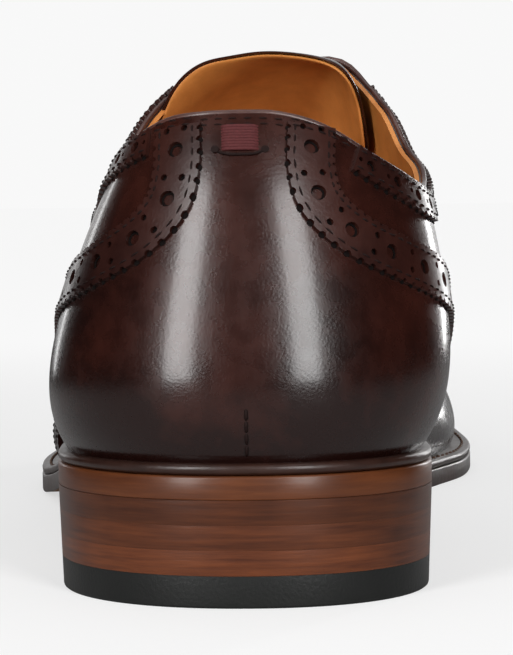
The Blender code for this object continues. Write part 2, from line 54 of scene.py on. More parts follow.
# along, full width there, share of it kept, shift towards the inner side as a share of BALL_WIDTH
SOLE = (
    (0.000, HEEL_WIDTH, 1.000, 0.048),
    (0.110, HEEL_WIDTH, 1.000, 0.033),
    (0.200, HEEL_WIDTH, 0.990, 0.018),
    (0.300, WAIST_WIDTH, 0.985, -0.020),
    (0.400, WAIST_WIDTH, 1.015, -0.055),
    (0.500, BALL_WIDTH, 0.735, -0.062),
    (0.600, BALL_WIDTH, 0.905, -0.038),
    (0.660, BALL_WIDTH, 0.977, -0.012),
    (0.720, BALL_WIDTH, 0.997, 0.004),
    (0.800, BALL_WIDTH, 1.000, 0.010),
    (0.900, BALL_WIDTH, 1.000, 0.020),
    (1.000, BALL_WIDTH, 1.000, 0.034),
)
HEEL_ROUND, HEEL_POWER = 0.110, 2.15
TOE_ROUND, TOE_POWER = 0.720, 1.85
# along, and how far the welt reaches past the upper
REACH = (
    (0.00, HEEL_REACH),
    (0.25, HEEL_REACH),
    (0.40, 0.52 * WELT_REACH),
    (0.56, WELT_REACH),
    (1.00, WELT_REACH),
)
# along, and the rise of the sole's underside as a share of the heel or of the toe spring
ARCH = ((0.0, 1), (0.225, 1), (0.3, 0.83), (0.38, 0.56), (0.46, 0.28), (0.53, 0.085), (0.585, 0), (1.0, 0))
SPRING = ((0.0, 0.0), (0.69, 0.0), (0.76, 0.05), (0.84, 0.22), (0.92, 0.54), (1.0, 1.0))


def through(table, n, at):
    """Smooth value of column n of a table at a place along its first column."""
    x = np.array([r[0] for r in table])
    y = np.array([r[n] for r in table])
    step = np.diff(x)
    d = np.diff(y) / step
    m = np.empty_like(y)
    m[1:-1] = (d[:-1] * step[1:] + d[1:] * step[:-1]) / (x[2:] - x[:-2])
    m[0], m[-1] = d[0], d[-1]
    m[1:-1][d[:-1] * d[1:] <= 0] = 0
    at = np.clip(np.asarray(at, float), x[0], x[-1])
    i = np.clip(np.searchsorted(x, at, side="right") - 1, 0, len(x) - 2)
    h = x[i + 1] - x[i]
    t = (at - x[i]) / h
    return (
        (2 * t**3 - 3 * t**2 + 1) * y[i]
        + (t**3 - 2 * t**2 + t) * h * m[i]
        + (-2 * t**3 + 3 * t**2) * y[i + 1]
        + (t**3 - t**2) * h * m[i + 1]
    )


HALVES = [(r[0], r[1] / 2 * r[2], r[3] * BALL_WIDTH) for r in SOLE]


def sole_edge(side, a):
    """The sole's outline at shares a of the length, side -1 outer and +1 inner."""
    u = np.clip((HEEL_ROUND - a) / HEEL_ROUND, 0, 1)
    v = np.clip((a - TOE_ROUND) / (1 - TOE_ROUND), 0, 1)
    half = through(HALVES, 1, a) * (1 - u**HEEL_POWER) ** (1 / HEEL_POWER) * np.sqrt(1 - v**TOE_POWER)
    return np.stack([through(HALVES, 2, a) + side * half, a * LENGTH], -1)


def drawn_in(points, side, amount):
    """An outline moved inwards."""
    t = np.gradient(points, axis=0)
    t[0], t[-1] = (side, 0), (-side, 0)
    t /= np.linalg.norm(t, axis=1)[:, None]
    return points + np.stack([-t[:, 1], t[:, 0]], 1) * side * np.broadcast_to(amount, len(points))[:, None]


def underside(y):
    return through(ARCH, 1, y / LENGTH) * HEEL_UNDER + through(SPRING, 1, y / LENGTH) * TOE_SPRING


def seat(y):
    return underside(y) + OUTSOLE_THICK + WELT_THICK


def sheet(name, points):
    """A grid primitive laid over a table of points, still open and without thickness."""
    n, m = points.shape[:2]
    bpy.ops.object.select_all(action="DESELECT")
    bpy.ops.mesh.primitive_grid_add(x_subdivisions=m - 1, y_subdivisions=n - 1, size=1)
    piece = bpy.context.object
    piece.name = piece.data.name = name
    flat = np.empty(n * m * 3)
    piece.data.vertices.foreach_get("co", flat)
    flat = flat.reshape(-1, 3)
    j = np.rint((flat[:, 0] + 0.5) * (m - 1)).astype(int)
    i = np.rint((flat[:, 1] + 0.5) * (n - 1)).astype(int)
    place = points[i, j].astype(float)
    place[:, :2] -= MIDDLE
    piece.data.vertices.foreach_set("co", place.ravel())
    piece.data.update()
    return piece


def put(name, data):
    """A new object in the scene."""
    made = bpy.data.objects.new(name, data)
    bpy.context.scene.collection.objects.link(made)
    return made


def from_faces(name, points, faces, uv=None):
    """A mesh of given points and faces, for outlines that no primitive has."""
    mesh = bpy.data.meshes.new(name)
    place = np.asarray(points, float).copy()
    place[:, :2] -= MIDDLE
    mesh.from_pydata(place.tolist(), [], [tuple(int(k) for k in f) for f in faces])
    if uv is not None:
        layer = mesh.uv_layers.new(name="UVMap")
        at = np.empty(len(mesh.loops), dtype=int)
        mesh.loops.foreach_get("vertex_index", at)
        layer.data.foreach_set("uv", np.asarray(uv, float)[at].ravel())
    return put(name, mesh)


def pick(piece):
    bpy.ops.object.select_all(action="DESELECT")
    bpy.context.view_layer.objects.active = piece
    piece.select_set(True)


def tidy(piece, merge=0.0, outward=False):
    """Doubles merged and, on a closed shape, faces turned outwards."""
    pick(piece)
    bpy.ops.object.mode_set(mode="EDIT")
    bpy.ops.mesh.select_all(action="SELECT")
    if merge:
        bpy.ops.mesh.remove_doubles(threshold=merge)
        bpy.ops.mesh.dissolve_degenerate(threshold=1e-6)
    if outward:
        bpy.ops.mesh.normals_make_consistent(inside=False)
    bpy.ops.object.mode_set(mode="OBJECT")


def modify(piece, kind, **values):
    """Adds a modifier and applies it."""
    pick(piece)
    changer = piece.modifiers.new(kind.title(), kind)
    for key, value in values.items():
        setattr(changer, key, value)
    bpy.ops.object.modifier_apply(modifier=changer.name)


def smooth(piece, degrees=35):
    pick(piece)
    bpy.ops.object.shade_smooth_by_angle(angle=np.radians(degrees))


def dress(piece, material, *nodes, slot=None):
    """Gives a piece its material and its place in the shoe."""
    piece.data.materials.clear()
    piece.data.materials.append(material)
    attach(piece, "root")
    if nodes:
        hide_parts(*nodes)


def feed(tree, node, inputs):
    """Sets a node's inputs: each takes a value, or the socket or node that is joined to it."""
    for key, value in inputs.items():
        if isinstance(value, bpy.types.Node):
            value = value.outputs[0]
        if isinstance(value, bpy.types.NodeSocket):
            tree.links.new(value, node.inputs[key])
        else:
            node.inputs[key].default_value = value


def add_node(tree, kind, inputs=(), **settings):
    node = tree.nodes.new("ShaderNode" + kind)
    for key, value in settings.items():
        setattr(node, key, value)
    feed(tree, node, dict(inputs))
    return node


def new_finish(name):
    """A material that is still plain, with its node tree and its shader."""
    material = bpy.data.materials.new(name)
    material.use_nodes = True
    tree = material.node_tree
    return material, tree, tree.nodes["Principled BSDF"]


def object_place(tree):
    return add_node(tree, "TexCoord").outputs["Object"]


def ranged(tree, value, low=0.0, high=1.0, to_low=0.0, to_high=1.0, **settings):
    """A value spread from one range over another."""
    ends = {"From Min": low, "From Max": high, "To Min": to_low, "To Max": to_high}
    return add_node(tree, "MapRange", {"Value": value, **ends}, **settings)


def blended(tree, share, dark, light):
    """A colour between two, by a share."""
    mix = add_node(tree, "Mix", data_type="RGBA")
    feed(tree, mix, {"Factor": share, 6: dark, 7: light})
    return mix.outputs[2]


def hide_group():
    """Polished hide: slow colour drift, darker burnish towards the sole, pores and fine wrinkles."""
    tree = bpy.data.node_groups.new("hide", "ShaderNodeTree")
    for way, sockets in (
        ("INPUT", {"Deep": "Color", "Warm": "Color", "Burnish": "Float",
                   "Pore size": "Float", "Gloss": "Float"}),
        ("OUTPUT", {"Colour": "Color", "Roughness": "Float", "Height": "Float"}),
    ):
        for label, kind in sockets.items():
            tree.interface.new_socket(label, in_out=way, socket_type="NodeSocket" + kind)
    given, out = tree.nodes.new("NodeGroupInput").outputs, tree.nodes.new("NodeGroupOutput")
    spot = object_place(tree)
    drift = add_node(tree, "TexNoise", {"Vector": spot, "Scale": 42.0, "Detail": 4.0, "Roughness": 0.55})
    cloud = add_node(tree, "TexNoise", {"Vector": spot, "Scale": 260.0, "Detail": 3.0, "Roughness": 0.6})
    size = add_node(tree, "Math", {0: 1.0, 1: given["Pore size"]}, operation="DIVIDE")
    coarse = add_node(tree, "Math", {0: size, 1: 0.35}, operation="MULTIPLY")
    pores = add_node(tree, "TexVoronoi", {"Vector": spot, "Scale": size}, feature="SMOOTH_F1")
    fine = add_node(tree, "TexNoise", {"Vector": spot, "Scale": coarse, "Detail": 3.0, "Roughness": 0.7})
    blend = add_node(tree, "Math", {0: cloud, 1: 0.35, 2: drift}, operation="MULTIPLY_ADD")
    tone = ranged(tree, blend, 0.42, 0.92)
    height = add_node(tree, "SeparateXYZ", {0: spot}).outputs["Z"]
    low = ranged(tree, height, 0.020, 0.060, 1.0, 0.0)
    deep = add_node(tree, "Math", {0: low, 1: given["Burnish"]}, operation="MULTIPLY")
    keep = add_node(tree, "Math", {0: tone, 1: deep}, operation="SUBTRACT", use_clamp=True)
    rough = add_node(tree, "Math", {0: cloud, 1: 0.16, 2: given["Gloss"]}, operation="MULTIPLY_ADD")
    both = add_node(tree, "Math", {0: fine, 1: 0.6, 2: pores}, operation="MULTIPLY_ADD")
    colour = blended(tree, keep, given["Deep"], given["Warm"])
    feed(tree, out, {"Colour": colour, "Roughness": rough, "Height": both})
    return tree


HIDE = hide_group()


def hide(name, deep, warm, gloss, burnish=0.0, pore=0.0007, relief=0.00006, coat=(0.0, 0.1), shine=0.5):
    """A leather of one finish: pores relief metres deep, and a coat of (weight, roughness)."""
    material, tree, shader = new_finish(name)
    surface = add_node(tree, "Group", node_tree=HIDE)
    feed(tree, surface, {"Deep": (*deep, 1), "Warm": (*warm, 1)})
    feed(tree, surface, {"Burnish": burnish, "Pore size": pore, "Gloss": gloss})
    bump = add_node(tree, "Bump", {"Distance": relief, "Height": surface.outputs["Height"]})
    feed(tree, shader, {"Base Color": surface.outputs["Colour"], "Roughness": surface.outputs["Roughness"]})
    feed(tree, shader, {"Normal": bump, "Specular IOR Level": shine})
    feed(tree, shader, {"Coat Weight": coat[0], "Coat Roughness": coat[1]})
    return material


TAN = hide("tan_lining", (0.43, 0.142, 0.027), (0.78, 0.310, 0.074), 0.40, pore=0.0007, relief=0.00003)

INSOLE_TOP, INSOLE_THICK, INSOLE_CLEAR = OUTSOLE_THICK + 0.0041, 0.0038, 0.0007
RINGS = (1 - np.cos(np.pi * np.linspace(0, 1, 161))) / 2
ACROSS = np.linspace(0, 1, 9)
reach = through(REACH, 1, RINGS)
rims = {s: sole_edge(s, RINGS) for s in (-1, 1)}
inner = {s: drawn_in(rims[s], s, reach + WALL + INSOLE_CLEAR) for s in (-1, 1)}
across = inner[-1][:, None] * (1 - ACROSS)[None, :, None] + inner[1][:, None] * ACROSS[None, :, None]
height = underside(across[..., 1]) + INSOLE_TOP
insole = sheet("insole", np.concatenate([across, height[..., None]], -1))
modify(insole, "SOLIDIFY", thickness=INSOLE_THICK, offset=-1.0)
tidy(insole, 1e-5, outward=True)
smooth(insole)
dress(insole, TAN, "insole")

# Upper
# Calf leather pulled over the last and drawn in under the insole: two quarters sewn at the back,
# and a vamp. It is dyed a deep red brown, burnished darker towards the sole, and polished.
BACK_HEIGHT = 0.0600
SEAT_HEIGHT = HEEL_UNDER + OUTSOLE_THICK + WELT_THICK
INSTEP_HEIGHT = 0.102
SHELL = 0.0013
LAST_COLUMNS = ("along", "rise", "outer", "inner", "crown", "bulge_o", "bulge_i", "ridge", "lean")
LAST = (
    (0.00, 0.750, 2.60, 2.60, 2.00, 0.0040, 0.0040, 0.045, -0.0008),
    (0.05, 0.750, 2.50, 2.40, 2.00, 0.0050, 0.0045, 0.036, 0.0028),
    (0.13, 0.750, 2.70, 2.50, 2.00, 0.0050, 0.0045, 0.033, 0.0066),
    (0.20, 0.740, 2.80, 2.90, 2.40, 0.0046, 0.0045, 0.028, 0.0073),
    (0.27, 0.755, 2.60, 5.50, 2.90, 0.0044, 0.0057, 0.026, 0.0066),
    (0.36, 0.835, 2.40, 5.20, 2.75, 0.0050, 0.0065, 0.036, 0.0050),
    (0.46, 0.735, 2.10, 2.80, 2.10, 0.0035, 0.0050, 0.044, 0.0020),
    (0.56, 0.595, 2.00, 2.00, 1.85, 0.0025, 0.0035, 0.045, 0.0000),
    (0.66, 0.470, 2.00, 2.00, 1.90, 0.0018, 0.0020, 0.045, 0.0000),
    (0.76, 0.370, 2.15, 2.15, 2.00, 0.0016, 0.0016, 0.040, 0.0000),
    (0.86, 0.305, 2.30, 2.30, 2.15, 0.0016, 0.0016, 0.036, 0.0000),
    (1.00, 0.305, 2.30, 2.30, 2.20, 0.0016, 0.0016, 0.034, 0.0000),
)
BULGE_ANGLE = np.radians(13)
HEEL_CENTRE, TOE_CENTRE, TOE_SLOPE = 0.128, 0.86, 0.20
# share round the feather line, and the topline's height as a share of BACK_HEIGHT, outer and inner
TOPLINE = (
    (0.000, 1.000, 1.000),
    (0.025, 0.997, 0.996),
    (0.055, 0.985, 0.958),
    (0.085, 0.950, 0.872),
    (0.120, 0.900, 0.800),
    (0.190, 0.775, 0.785),
    (0.240, 0.735, 0.800),
    (0.290, 0.800, 0.880),
    (0.340, 0.980, 1.030),
    (0.370, 1.085, 1.110),
    (0.386, 1.165, 1.175),
)
CORNER, THROAT = 0.400, 0.655
FACING_GAP, THROAT_GAP = 0.0050, 0.0022
FINE = (1 - np.cos(np.pi * np.linspace(0, 1, 1601))) / 2
FEATHER = {}


def run_along(line):
    """Length run up to each point of a line."""
    return np.concatenate([[0], np.cumsum(np.linalg.norm(np.diff(line, axis=0), axis=1))])


for side in (-1, 1):
    line = drawn_in(sole_edge(side, FINE), side, through(REACH, 1, FINE))
    run = run_along(line)
    FEATHER[side] = (line, run / run[-1], run[-1])


def feather(side, c):
    line, run, total = FEATHER[side]
    return np.stack([np.interp(c, run, line[:, 0]), np.interp(c, run, line[:, 1])], -1)


def row(a, name):
    return through(LAST, LAST_COLUMNS.index(name), a)


def ridge_rise(y):
    a = y / LENGTH
    fall = TOE_SLOPE * np.minimum(0, TOE_CENTRE - a) * LENGTH
    return row(np.minimum(a, TOE_CENTRE), "rise") * INSTEP_HEIGHT + fall


def last(side, c, angle):
    """The upper's outer face: c is the share round the feather line, angle rises from sole to ridge."""
    c, angle = np.broadcast_arrays(np.asarray(c, float), np.asarray(angle, float))
    foot = feather(side, c)
    a = foot[..., 1] / LENGTH
    mid = np.clip(a, HEEL_CENTRE, TOE_CENTRE)
    centre = np.stack([row(mid, "ridge") * BALL_WIDTH, mid * LENGTH], -1)
    full = row(a, "outer" if side < 0 else "inner")
    swell = row(a, "bulge_o" if side < 0 else "bulge_i")
    out = foot - centre
    width = np.maximum(np.linalg.norm(out, axis=-1), 1e-9)
    q = angle / BULGE_ANGLE
    span = np.clip(np.cos(angle), 0, 1) ** (2 / full) + swell * q * np.exp(1 - q) / width
    xy = centre + out * span[..., None]
    up = ridge_rise(xy[..., 1]) * np.sin(np.maximum(angle, 0)) ** (2 / row(a, "crown"))
    return np.stack([xy[..., 0] + row(a, "lean") * up / BACK_HEIGHT, xy[..., 1], seat(xy[..., 1]) + up], -1)


def outward(side, c, angle):
    """Direction square to the upper."""
    c, angle = np.broadcast_arrays(np.asarray(c, float), np.asarray(angle, float))
    c0, c1 = np.clip(c - 0.002, 0, 1), np.clip(c + 0.002, 0, 1)
    t0, t1 = np.clip(angle - 0.004, 0, np.pi / 2), np.clip(angle + 0.004, 0, np.pi / 2)
    forward = last(side, c1, angle) - last(side, c0, angle)
    n = np.cross(forward, last(side, c, t1) - last(side, c, t0)) * side
    size = np.linalg.norm(n, axis=-1)[..., None]
    n = np.where(size < 1e-12, np.array([0.0, 0.0, 1.0]), n / np.maximum(size, 1e-12))
    middle = ((c < 0.0015) | ((angle > np.pi / 2 - 0.02) & (c < 0.95)))[..., None]
    n = np.where(middle, n * np.array([0.0, 1.0, 1.0]), n)
    return n / np.maximum(np.linalg.norm(n, axis=-1), 1e-9)[..., None]


def off(side, c, angle, distance):
    """A place at a distance out from the upper's face."""
    return last(side, c, angle) + outward(side, c, angle) * np.asarray(distance, float)[..., None]


def facing_angle(side, c):
    foot = feather(side, c)
    a = foot[..., 1] / LENGTH
    width = np.abs(foot[..., 0] - row(a, "ridge") * BALL_WIDTH)
    u = np.clip((c - CORNER) / (THROAT - CORNER), 0, 1)
    gap = (FACING_GAP + (THROAT_GAP - FACING_GAP) * u) * np.sqrt(np.clip(1 - u**12, 0, 1))
    return np.arccos(np.clip(gap / width, 0, 1) ** (row(a, "outer" if side < 0 else "inner") / 2))


def edge_angle(side, c):
    """Where the upper ends: the topline, the facing, or the ridge past the throat."""
    c = np.asarray(c, float)
    rows = np.array([r[0] for r in TOPLINE])
    tall = np.array([r[1 if side < 0 else 2] for r in TOPLINE]) * BACK_HEIGHT + SEAT_HEIGHT
    y = feather(side, rows)[:, 1]
    rise = ridge_rise(np.maximum(y, HEEL_CENTRE * LENGTH))
    angles = np.arcsin(np.clip((tall - seat(y)) / rise, 0, 1) ** (row(y / LENGTH, "crown") / 2))
    table = list(zip(rows, angles)) + [(CORNER, float(facing_angle(side, np.array(CORNER))))]
    top = through(table, 1, np.minimum(c, CORNER))
    front = facing_angle(side, np.clip(c, CORNER, THROAT))
    return np.where(c <= CORNER, top, np.where(c >= THROAT, np.pi / 2, front))


def shell(name, rounds, rises, depth, start=0.0):
    """Both sides of the upper at a depth under its face, joined at the back seam and the ridge."""
    halves = {}
    for side in (-1, 1):
        top = edge_angle(side, rounds)[:, None]
        angle = start + (top - start) * rises[None]
        halves[side] = off(side, rounds[:, None], angle, np.full(angle.shape, -depth))
        pole = feather(side, rounds)[:, 1] >= TOE_CENTRE * LENGTH
        halves[side][pole, -1] = last(side, rounds[pole], np.pi / 2) - np.array([0, 0, depth])
    throat = int(np.argmin(np.abs(rounds - THROAT)))
    for part in (np.s_[0, :], np.s_[-1, :], np.s_[throat:, -1]):
        shared = (halves[-1][part] + halves[1][part]) / 2
        halves[-1][part] = shared
        halves[1][part] = shared
    made = [sheet(name, halves[-1]), sheet(name + "_b", halves[1][::-1])]
    pick(made[0])
    made[1].select_set(True)
    bpy.ops.object.join()
    tidy(made[0], 1.2e-5)
    return made[0]


def rounds_for(count):
    """Shares round the feather line, closer at heel and toe, with the corner and the throat among them."""
    c = np.linspace(0, 1, count)
    c = c - 0.055 * np.sin(2 * np.pi * c)
    for place in (CORNER, THROAT):
        c[np.argmin(np.abs(c - place))] = place
    return c


OXBLOOD = hide("red_brown_calf", (0.011, 0.0026, 0.0018), (0.050, 0.0115, 0.0070), 0.19, burnish=0.7,
               pore=0.00045, relief=0.000022, coat=(0.45, 0.15), shine=0.36)
upper = shell("upper", rounds_for(221), np.linspace(0, 1, 71) ** 1.05, 0.0)
modify(upper, "SOLIDIFY", thickness=SHELL, offset=-1.0)
smooth(upper, 50)
dress(upper, OXBLOOD, "upper")

# Lining
# Tan leather glued inside the quarters and vamp, its edge closed with the upper's along the top.
lining = shell("lining", rounds_for(161), np.linspace(0, 1, 49), SHELL + 0.00005)
modify(lining, "SOLIDIFY", thickness=WALL - SHELL, offset=-1.0)
smooth(lining, 50)
dress(lining, TAN, slot="upper")

# Top edge
# The calf is skived thin and folded over the lining's edge round the collar and down both facings,
# which leaves a narrow rounded bead.
BEAD = 0.00060
c = np.concatenate([np.linspace(THROAT, CORNER, 90), np.linspace(CORNER, 0, 130)[1:]])
loops = []
for side in (-1, 1):
    angle = np.minimum(edge_angle(side, c), np.pi / 2 - 0.0005)
    loops.append(off(side, c, angle, np.full(c.shape, -0.75 * BEAD)))
ring = np.concatenate([loops[0], loops[1][::-1][1:-1]])


def cord(name, points, radius, sides=4, closed=False):
    """A round cord along points, its ends capped or, if closed, joined into a ring."""
    points = np.asarray(points, float).copy()
    points[:, :2] -= MIDDLE
    curve = bpy.data.curves.new(name, "CURVE")
    curve.dimensions = "3D"
    curve.bevel_depth = radius
    curve.bevel_resolution = sides
    curve.use_fill_caps = not closed
    line = curve.splines.new("POLY")
    line.points.add(len(points) - 1)
    line.points.foreach_set("co", np.column_stack([points, np.ones(len(points))]).ravel())
    line.use_cyclic_u = closed
    piece = put(name, curve)
    pick(piece)
    bpy.ops.object.convert(target="MESH")
    return piece


top_edge = cord("top_edge", ring, BEAD, 3, closed=True)
smooth(top_edge, 80)
# The bead is coloured lighter and pinker than the calf: a painted highlight for the light that the rolled
# edge catches.
BEAD_HIGHLIGHT_HIDE = hide("folded_edge_painted_highlight", (0.030, 0.010, 0.008), (0.11, 0.045, 0.035), 0.30, pore=0.0005,
                 relief=0.00004, coat=(0.3, 0.2))
dress(top_edge, BEAD_HIGHLIGHT_HIDE, slot="upper")

# Edgings
# Strips of the same calf laid over the seams. Both long edges are pinked with small round bites, and
# a row of punched holes runs down the middle: one large, then two small side by side, so that the
# leather under it shows. Each strip is sewn down just inside its edges.
BAND_WIDTH = 0.0086
BAND = 0.0009
ON_BAND = BAND + 0.0001
REPEAT = 0.0088
SIDES = ((-1, "outer"), (1, "inner"))
BITES = 4
BITE, BITE_DEEP = 0.00050, 0.00055
LARGE_HOLE, SMALL_HOLE, SMALL_APART = 0.00140, 0.00060, 0.0033


def round_turn(count):
    return np.linspace(0, 2 * np.pi, count, endpoint=False)


def disc(x, y, r, count):
    return [(x + r * np.cos(t), y + r * np.sin(t)) for t in round_turn(count)]


def punched_cell(length, width, holes, bites, mesh_size=0.0010, sides=(1, 1)):
    """Points and triangles of one repeat of a strip, pinked along its edges and punched."""
    points, edges = [], []

    def add_loop(loop):
        start = len(points)
        points.extend(loop)
        edges.extend((start + k, start + (k + 1) % len(loop)) for k in range(len(loop)))

    def side_line(v, out, cut):
        if not cut:
            return [(length * k / bites, v) for k in range(bites + 1)]
        line = []
        for k in range(bites):
            middle = (k + 0.5) * length / bites
            line.append((k * length / bites, v))
            for t in np.linspace(0, np.pi, 7):
                line.append((middle - BITE * np.cos(t), v - out * BITE_DEEP * np.sin(t)))
        return line + [(length, v)]

    low = side_line(-width / 2, -1, sides[0])
    high = side_line(width / 2, 1, sides[1])[::-1]
    count = max(2, int(round(width / mesh_size)))
    rise = [(length, -width / 2 + width * k / count) for k in range(1, count)]
    add_loop(low + rise + high + [(0.0, v) for _, v in rise[::-1]])
    outline_count = len(points)
    for x, y, r in holes:
        add_loop(disc(x, y, r, 22 if r > 0.001 else 12))
    rng = np.random.default_rng(3)
    for x in np.arange(mesh_size * 0.8, length - mesh_size * 0.4, mesh_size):
        for y in np.arange(-width / 2 + mesh_size * 0.6, width / 2 - mesh_size * 0.3, mesh_size):
            px, py = x + rng.uniform(-0.1, 0.1) * mesh_size, y + rng.uniform(-0.1, 0.1) * mesh_size
            if all(np.hypot(px - hx, py - hy) > hr + 0.35 * mesh_size for hx, hy, hr in holes):
                points.append((px, py))
    in_mm = [Vector((x * 1000, y * 1000)) for x, y in points]
    result = geometry.delaunay_2d_cdt(in_mm, edges, [], 0, 1e-5)
    flat = np.array([v[:] for v in result[0]]) / 1000
    (ax, ay), (bx, by) = flat[:outline_count].T, np.roll(flat[:outline_count], -1, axis=0).T
    kept = []
    for face in result[2]:
        x, y = flat[list(face)].mean(0)
        if any(np.hypot(x - hx, y - hy) < hr * 0.97 for hx, hy, hr in holes):
            continue
        past = x < (bx - ax) * (y - ay) / np.where(by == ay, 1e-12, by - ay) + ax
        if (((ay > y) != (by > y)) & past).sum() % 2:
            kept.append(face)
    return flat, kept


class Path:
    """A way over the upper, with its length and the steps that lead square off it."""

    def __init__(self, side, c, angle):
        self.side = side
        self.c, self.angle = np.asarray(c, float), np.asarray(angle, float)
        e = 1e-4
        ca, cb = np.clip(self.c + e, 0, 1), np.clip(self.c - e, 0, 1)
        dc = (last(side, ca, self.angle) - last(side, cb, self.angle)) / (ca - cb)[:, None]
        da = (last(side, self.c, self.angle) - last(side, self.c, self.angle - e)) / e
        dp = dc * np.gradient(self.c)[:, None] + da * np.gradient(self.angle)[:, None]
        points = last(side, self.c, self.angle)
        self.run = run_along(points)
        self.length = self.run[-1]
        n = outward(side, self.c, self.angle)
        cross = np.cross(n, dp / np.maximum(np.linalg.norm(dp, axis=1), 1e-12)[:, None])
        g11, g12, g22 = (dc * dc).sum(1), (dc * da).sum(1), (da * da).sum(1)
        r1, r2 = (dc * cross).sum(1), (da * cross).sum(1)
        det = np.maximum(g11 * g22 - g12**2, 1e-16)
        self.vc, self.va = (r1 * g22 - r2 * g12) / det, (r2 * g11 - r1 * g12) / det

    def fit(self, repeat):
        """How many repeats fit the way, and the length that each then has."""
        count = max(1, int(round(self.length / repeat)))
        return count, self.length / count

    def at(self, s, v):
        """Share round and angle of rise at a length s along the way and v off to its left."""
        c, angle, vc, va = [np.interp(s, self.run, x) for x in (self.c, self.angle, self.vc, self.va)]
        return np.clip(c + vc * v, 0, 1), np.clip(angle + va * v, 0.002, np.pi / 2)

    def place(self, s, v, lift):
        """A place there, at a lift off the upper."""
        c, angle = self.at(np.asarray(s, float), np.asarray(v, float))
        return off(self.side, c, angle, np.broadcast_to(lift, c.shape))


def spread(table, count):
    t, s = np.linspace(0, 1, len(table)), np.linspace(0, 1, count)
    rows = [(a,) + tuple(r) for a, r in zip(t, table)]
    return through(rows, 1, s), through(rows, 2, s)


def strip(name, way, cell, repeat):
    """A run of cells along a way on the upper, with thickness."""
    flat, faces = cell
    count, pitch = way.fit(repeat)
    points, all_faces, uv = [], [], []
    for k in range(count):
        s = (k + flat[:, 0] / repeat) * pitch
        points.append(way.place(s, flat[:, 1], BAND))
        uv.append(np.column_stack([s, flat[:, 1]]) * 100)
        all_faces += [[i + k * len(flat) for i in f] for f in faces]
    piece = from_faces(name, np.concatenate(points), all_faces, np.concatenate(uv))
    tidy(piece, 2e-5)
    modify(piece, "SOLIDIFY", thickness=BAND + 0.0002, offset=-1.0)
    smooth(piece, 40)
    return piece


def joined(name, pieces):
    pick(pieces[0])
    for other in pieces[1:]:
        other.select_set(True)
    if len(pieces) > 1:
        bpy.ops.object.join()
    pieces[0].name = pieces[0].data.name = name
    return pieces[0]


HOLE_LIFT = 0.00013


def painted_hole_shade(name, runs):
    """Painted shade in the holes and bites: thin dark discs, and dark rings in large holes, standing in for
    the shade inside the punched leather.

    runs holds (way, repeat, holes, half width, bites)."""
    points, faces, start = [], [], 0
    for way, repeat, holes, half, bites in runs:
        count, pitch = way.fit(repeat)
        spots = [(x, y, 0.68 * r if r > 0.001 else 0.0, 1.03 * r) for x, y, r in holes]
        for k in range(bites):
            x = (k + 0.5) * repeat / bites
            spots += [(x, half - 0.0001, 0.0, BITE), (x, -half + 0.0001, 0.0, BITE)]
        for x, y, hollow, r in spots:
            sides = 18 if hollow else 9
            turn = round_turn(sides)
            for k in range(count):
                s = (k + x / repeat) * pitch
                rim = way.place(s + r * np.cos(turn), y + r * np.sin(turn), HOLE_LIFT)
                if hollow:
                    heart = way.place(s + hollow * np.cos(turn), y + hollow * np.sin(turn), HOLE_LIFT)
                else:
                    heart = way.place(np.array([s]), np.array([y]), HOLE_LIFT)
                points += [rim, heart]
                for i in range(sides):
                    j = (i + 1) % sides
                    if hollow:
                        faces.append((start + i, start + j, start + sides + j, start + sides + i))
                    else:
                        faces.append((start + i, start + j, start + sides))
                start += len(rim) + len(heart)
    piece = from_faces(name, np.concatenate(points), faces)
    modify(piece, "SOLIDIFY", thickness=0.00018, offset=-1.0)
    tidy(piece, outward=True)
    return piece


STITCH_PITCH, STITCH_LONG, THREAD = 0.0022, 0.0015, 0.00018


def tube_faces(start, sides, rings):
    """Faces of a closed tube, its rings of points one after the other from start."""
    end = start + sides * (rings - 1)
    faces = [(q + i, q + (i + 1) % sides, q + sides + (i + 1) % sides, q + sides + i)
             for q in range(start, end, sides) for i in range(sides)]
    return faces + [tuple(start + i for i in range(sides))[::-1], tuple(end + i for i in range(sides))]


def stitches(name, rows, pitch=STITCH_PITCH, long=STITCH_LONG, radius=THREAD):
    """Rows of short threads that dip into the leather; rows holds (way, off to the side, lift)."""
    sides, rings = 6, 5
    turn = round_turn(sides)
    bend = np.linspace(-1, 1, rings)
    template = []
    for b in bend:
        r = 0.45 + 0.55 * np.sqrt(max(0.0, 1 - b * b))
        template += [(b / 2, r * np.cos(t), r * np.sin(t) - 1.1 * b * b) for t in turn]
    template = np.array(template)
    points, faces = [], []
    for way, v, lift in rows:
        count = max(1, int(way.length / pitch))
        middle = (np.arange(count) + 0.5) * way.length / count
        a, b = way.place(middle - long / 2, v, lift), way.place(middle + long / 2, v, lift)
        c, angle = way.at(middle, np.full(count, v))
        n = outward(way.side, c, angle)
        along = b - a
        left = np.cross(n, along)
        left /= np.maximum(np.linalg.norm(left, axis=1), 1e-9)[:, None]
        body = ((a + b) / 2)[:, None] + along[:, None] * template[None, :, :1]
        body = body + (left[:, None] * template[None, :, 1:2] + n[:, None] * template[None, :, 2:]) * radius
        points.append(body.reshape(-1, 3))
    points = np.concatenate(points)
    for start in range(0, len(points), len(template)):
        faces += tube_faces(start, sides, rings)
    piece = from_faces(name, points, faces)
    tidy(piece, outward=True)
    smooth(piece, 60)
    return piece


def thread(name, colour, rough=0.55):
    """Waxed linen thread with a twist."""
    material, tree, shader = new_finish(name)
    twist = add_node(tree, "TexNoise", {"Vector": object_place(tree), "Scale": 2600.0, "Detail": 1.0})
    ramp = ranged(tree, twist, to_low=0.6, to_high=1.35)
    tint = add_node(tree, "Mix", data_type="RGBA", blend_type="MULTIPLY")
    feed(tree, tint, {"Factor": 1.0, 6: (*colour, 1), 7: ramp})
    feed(tree, shader, {"Base Color": tint.outputs[2], "Roughness": rough, "Specular IOR Level": 0.15})
    return material


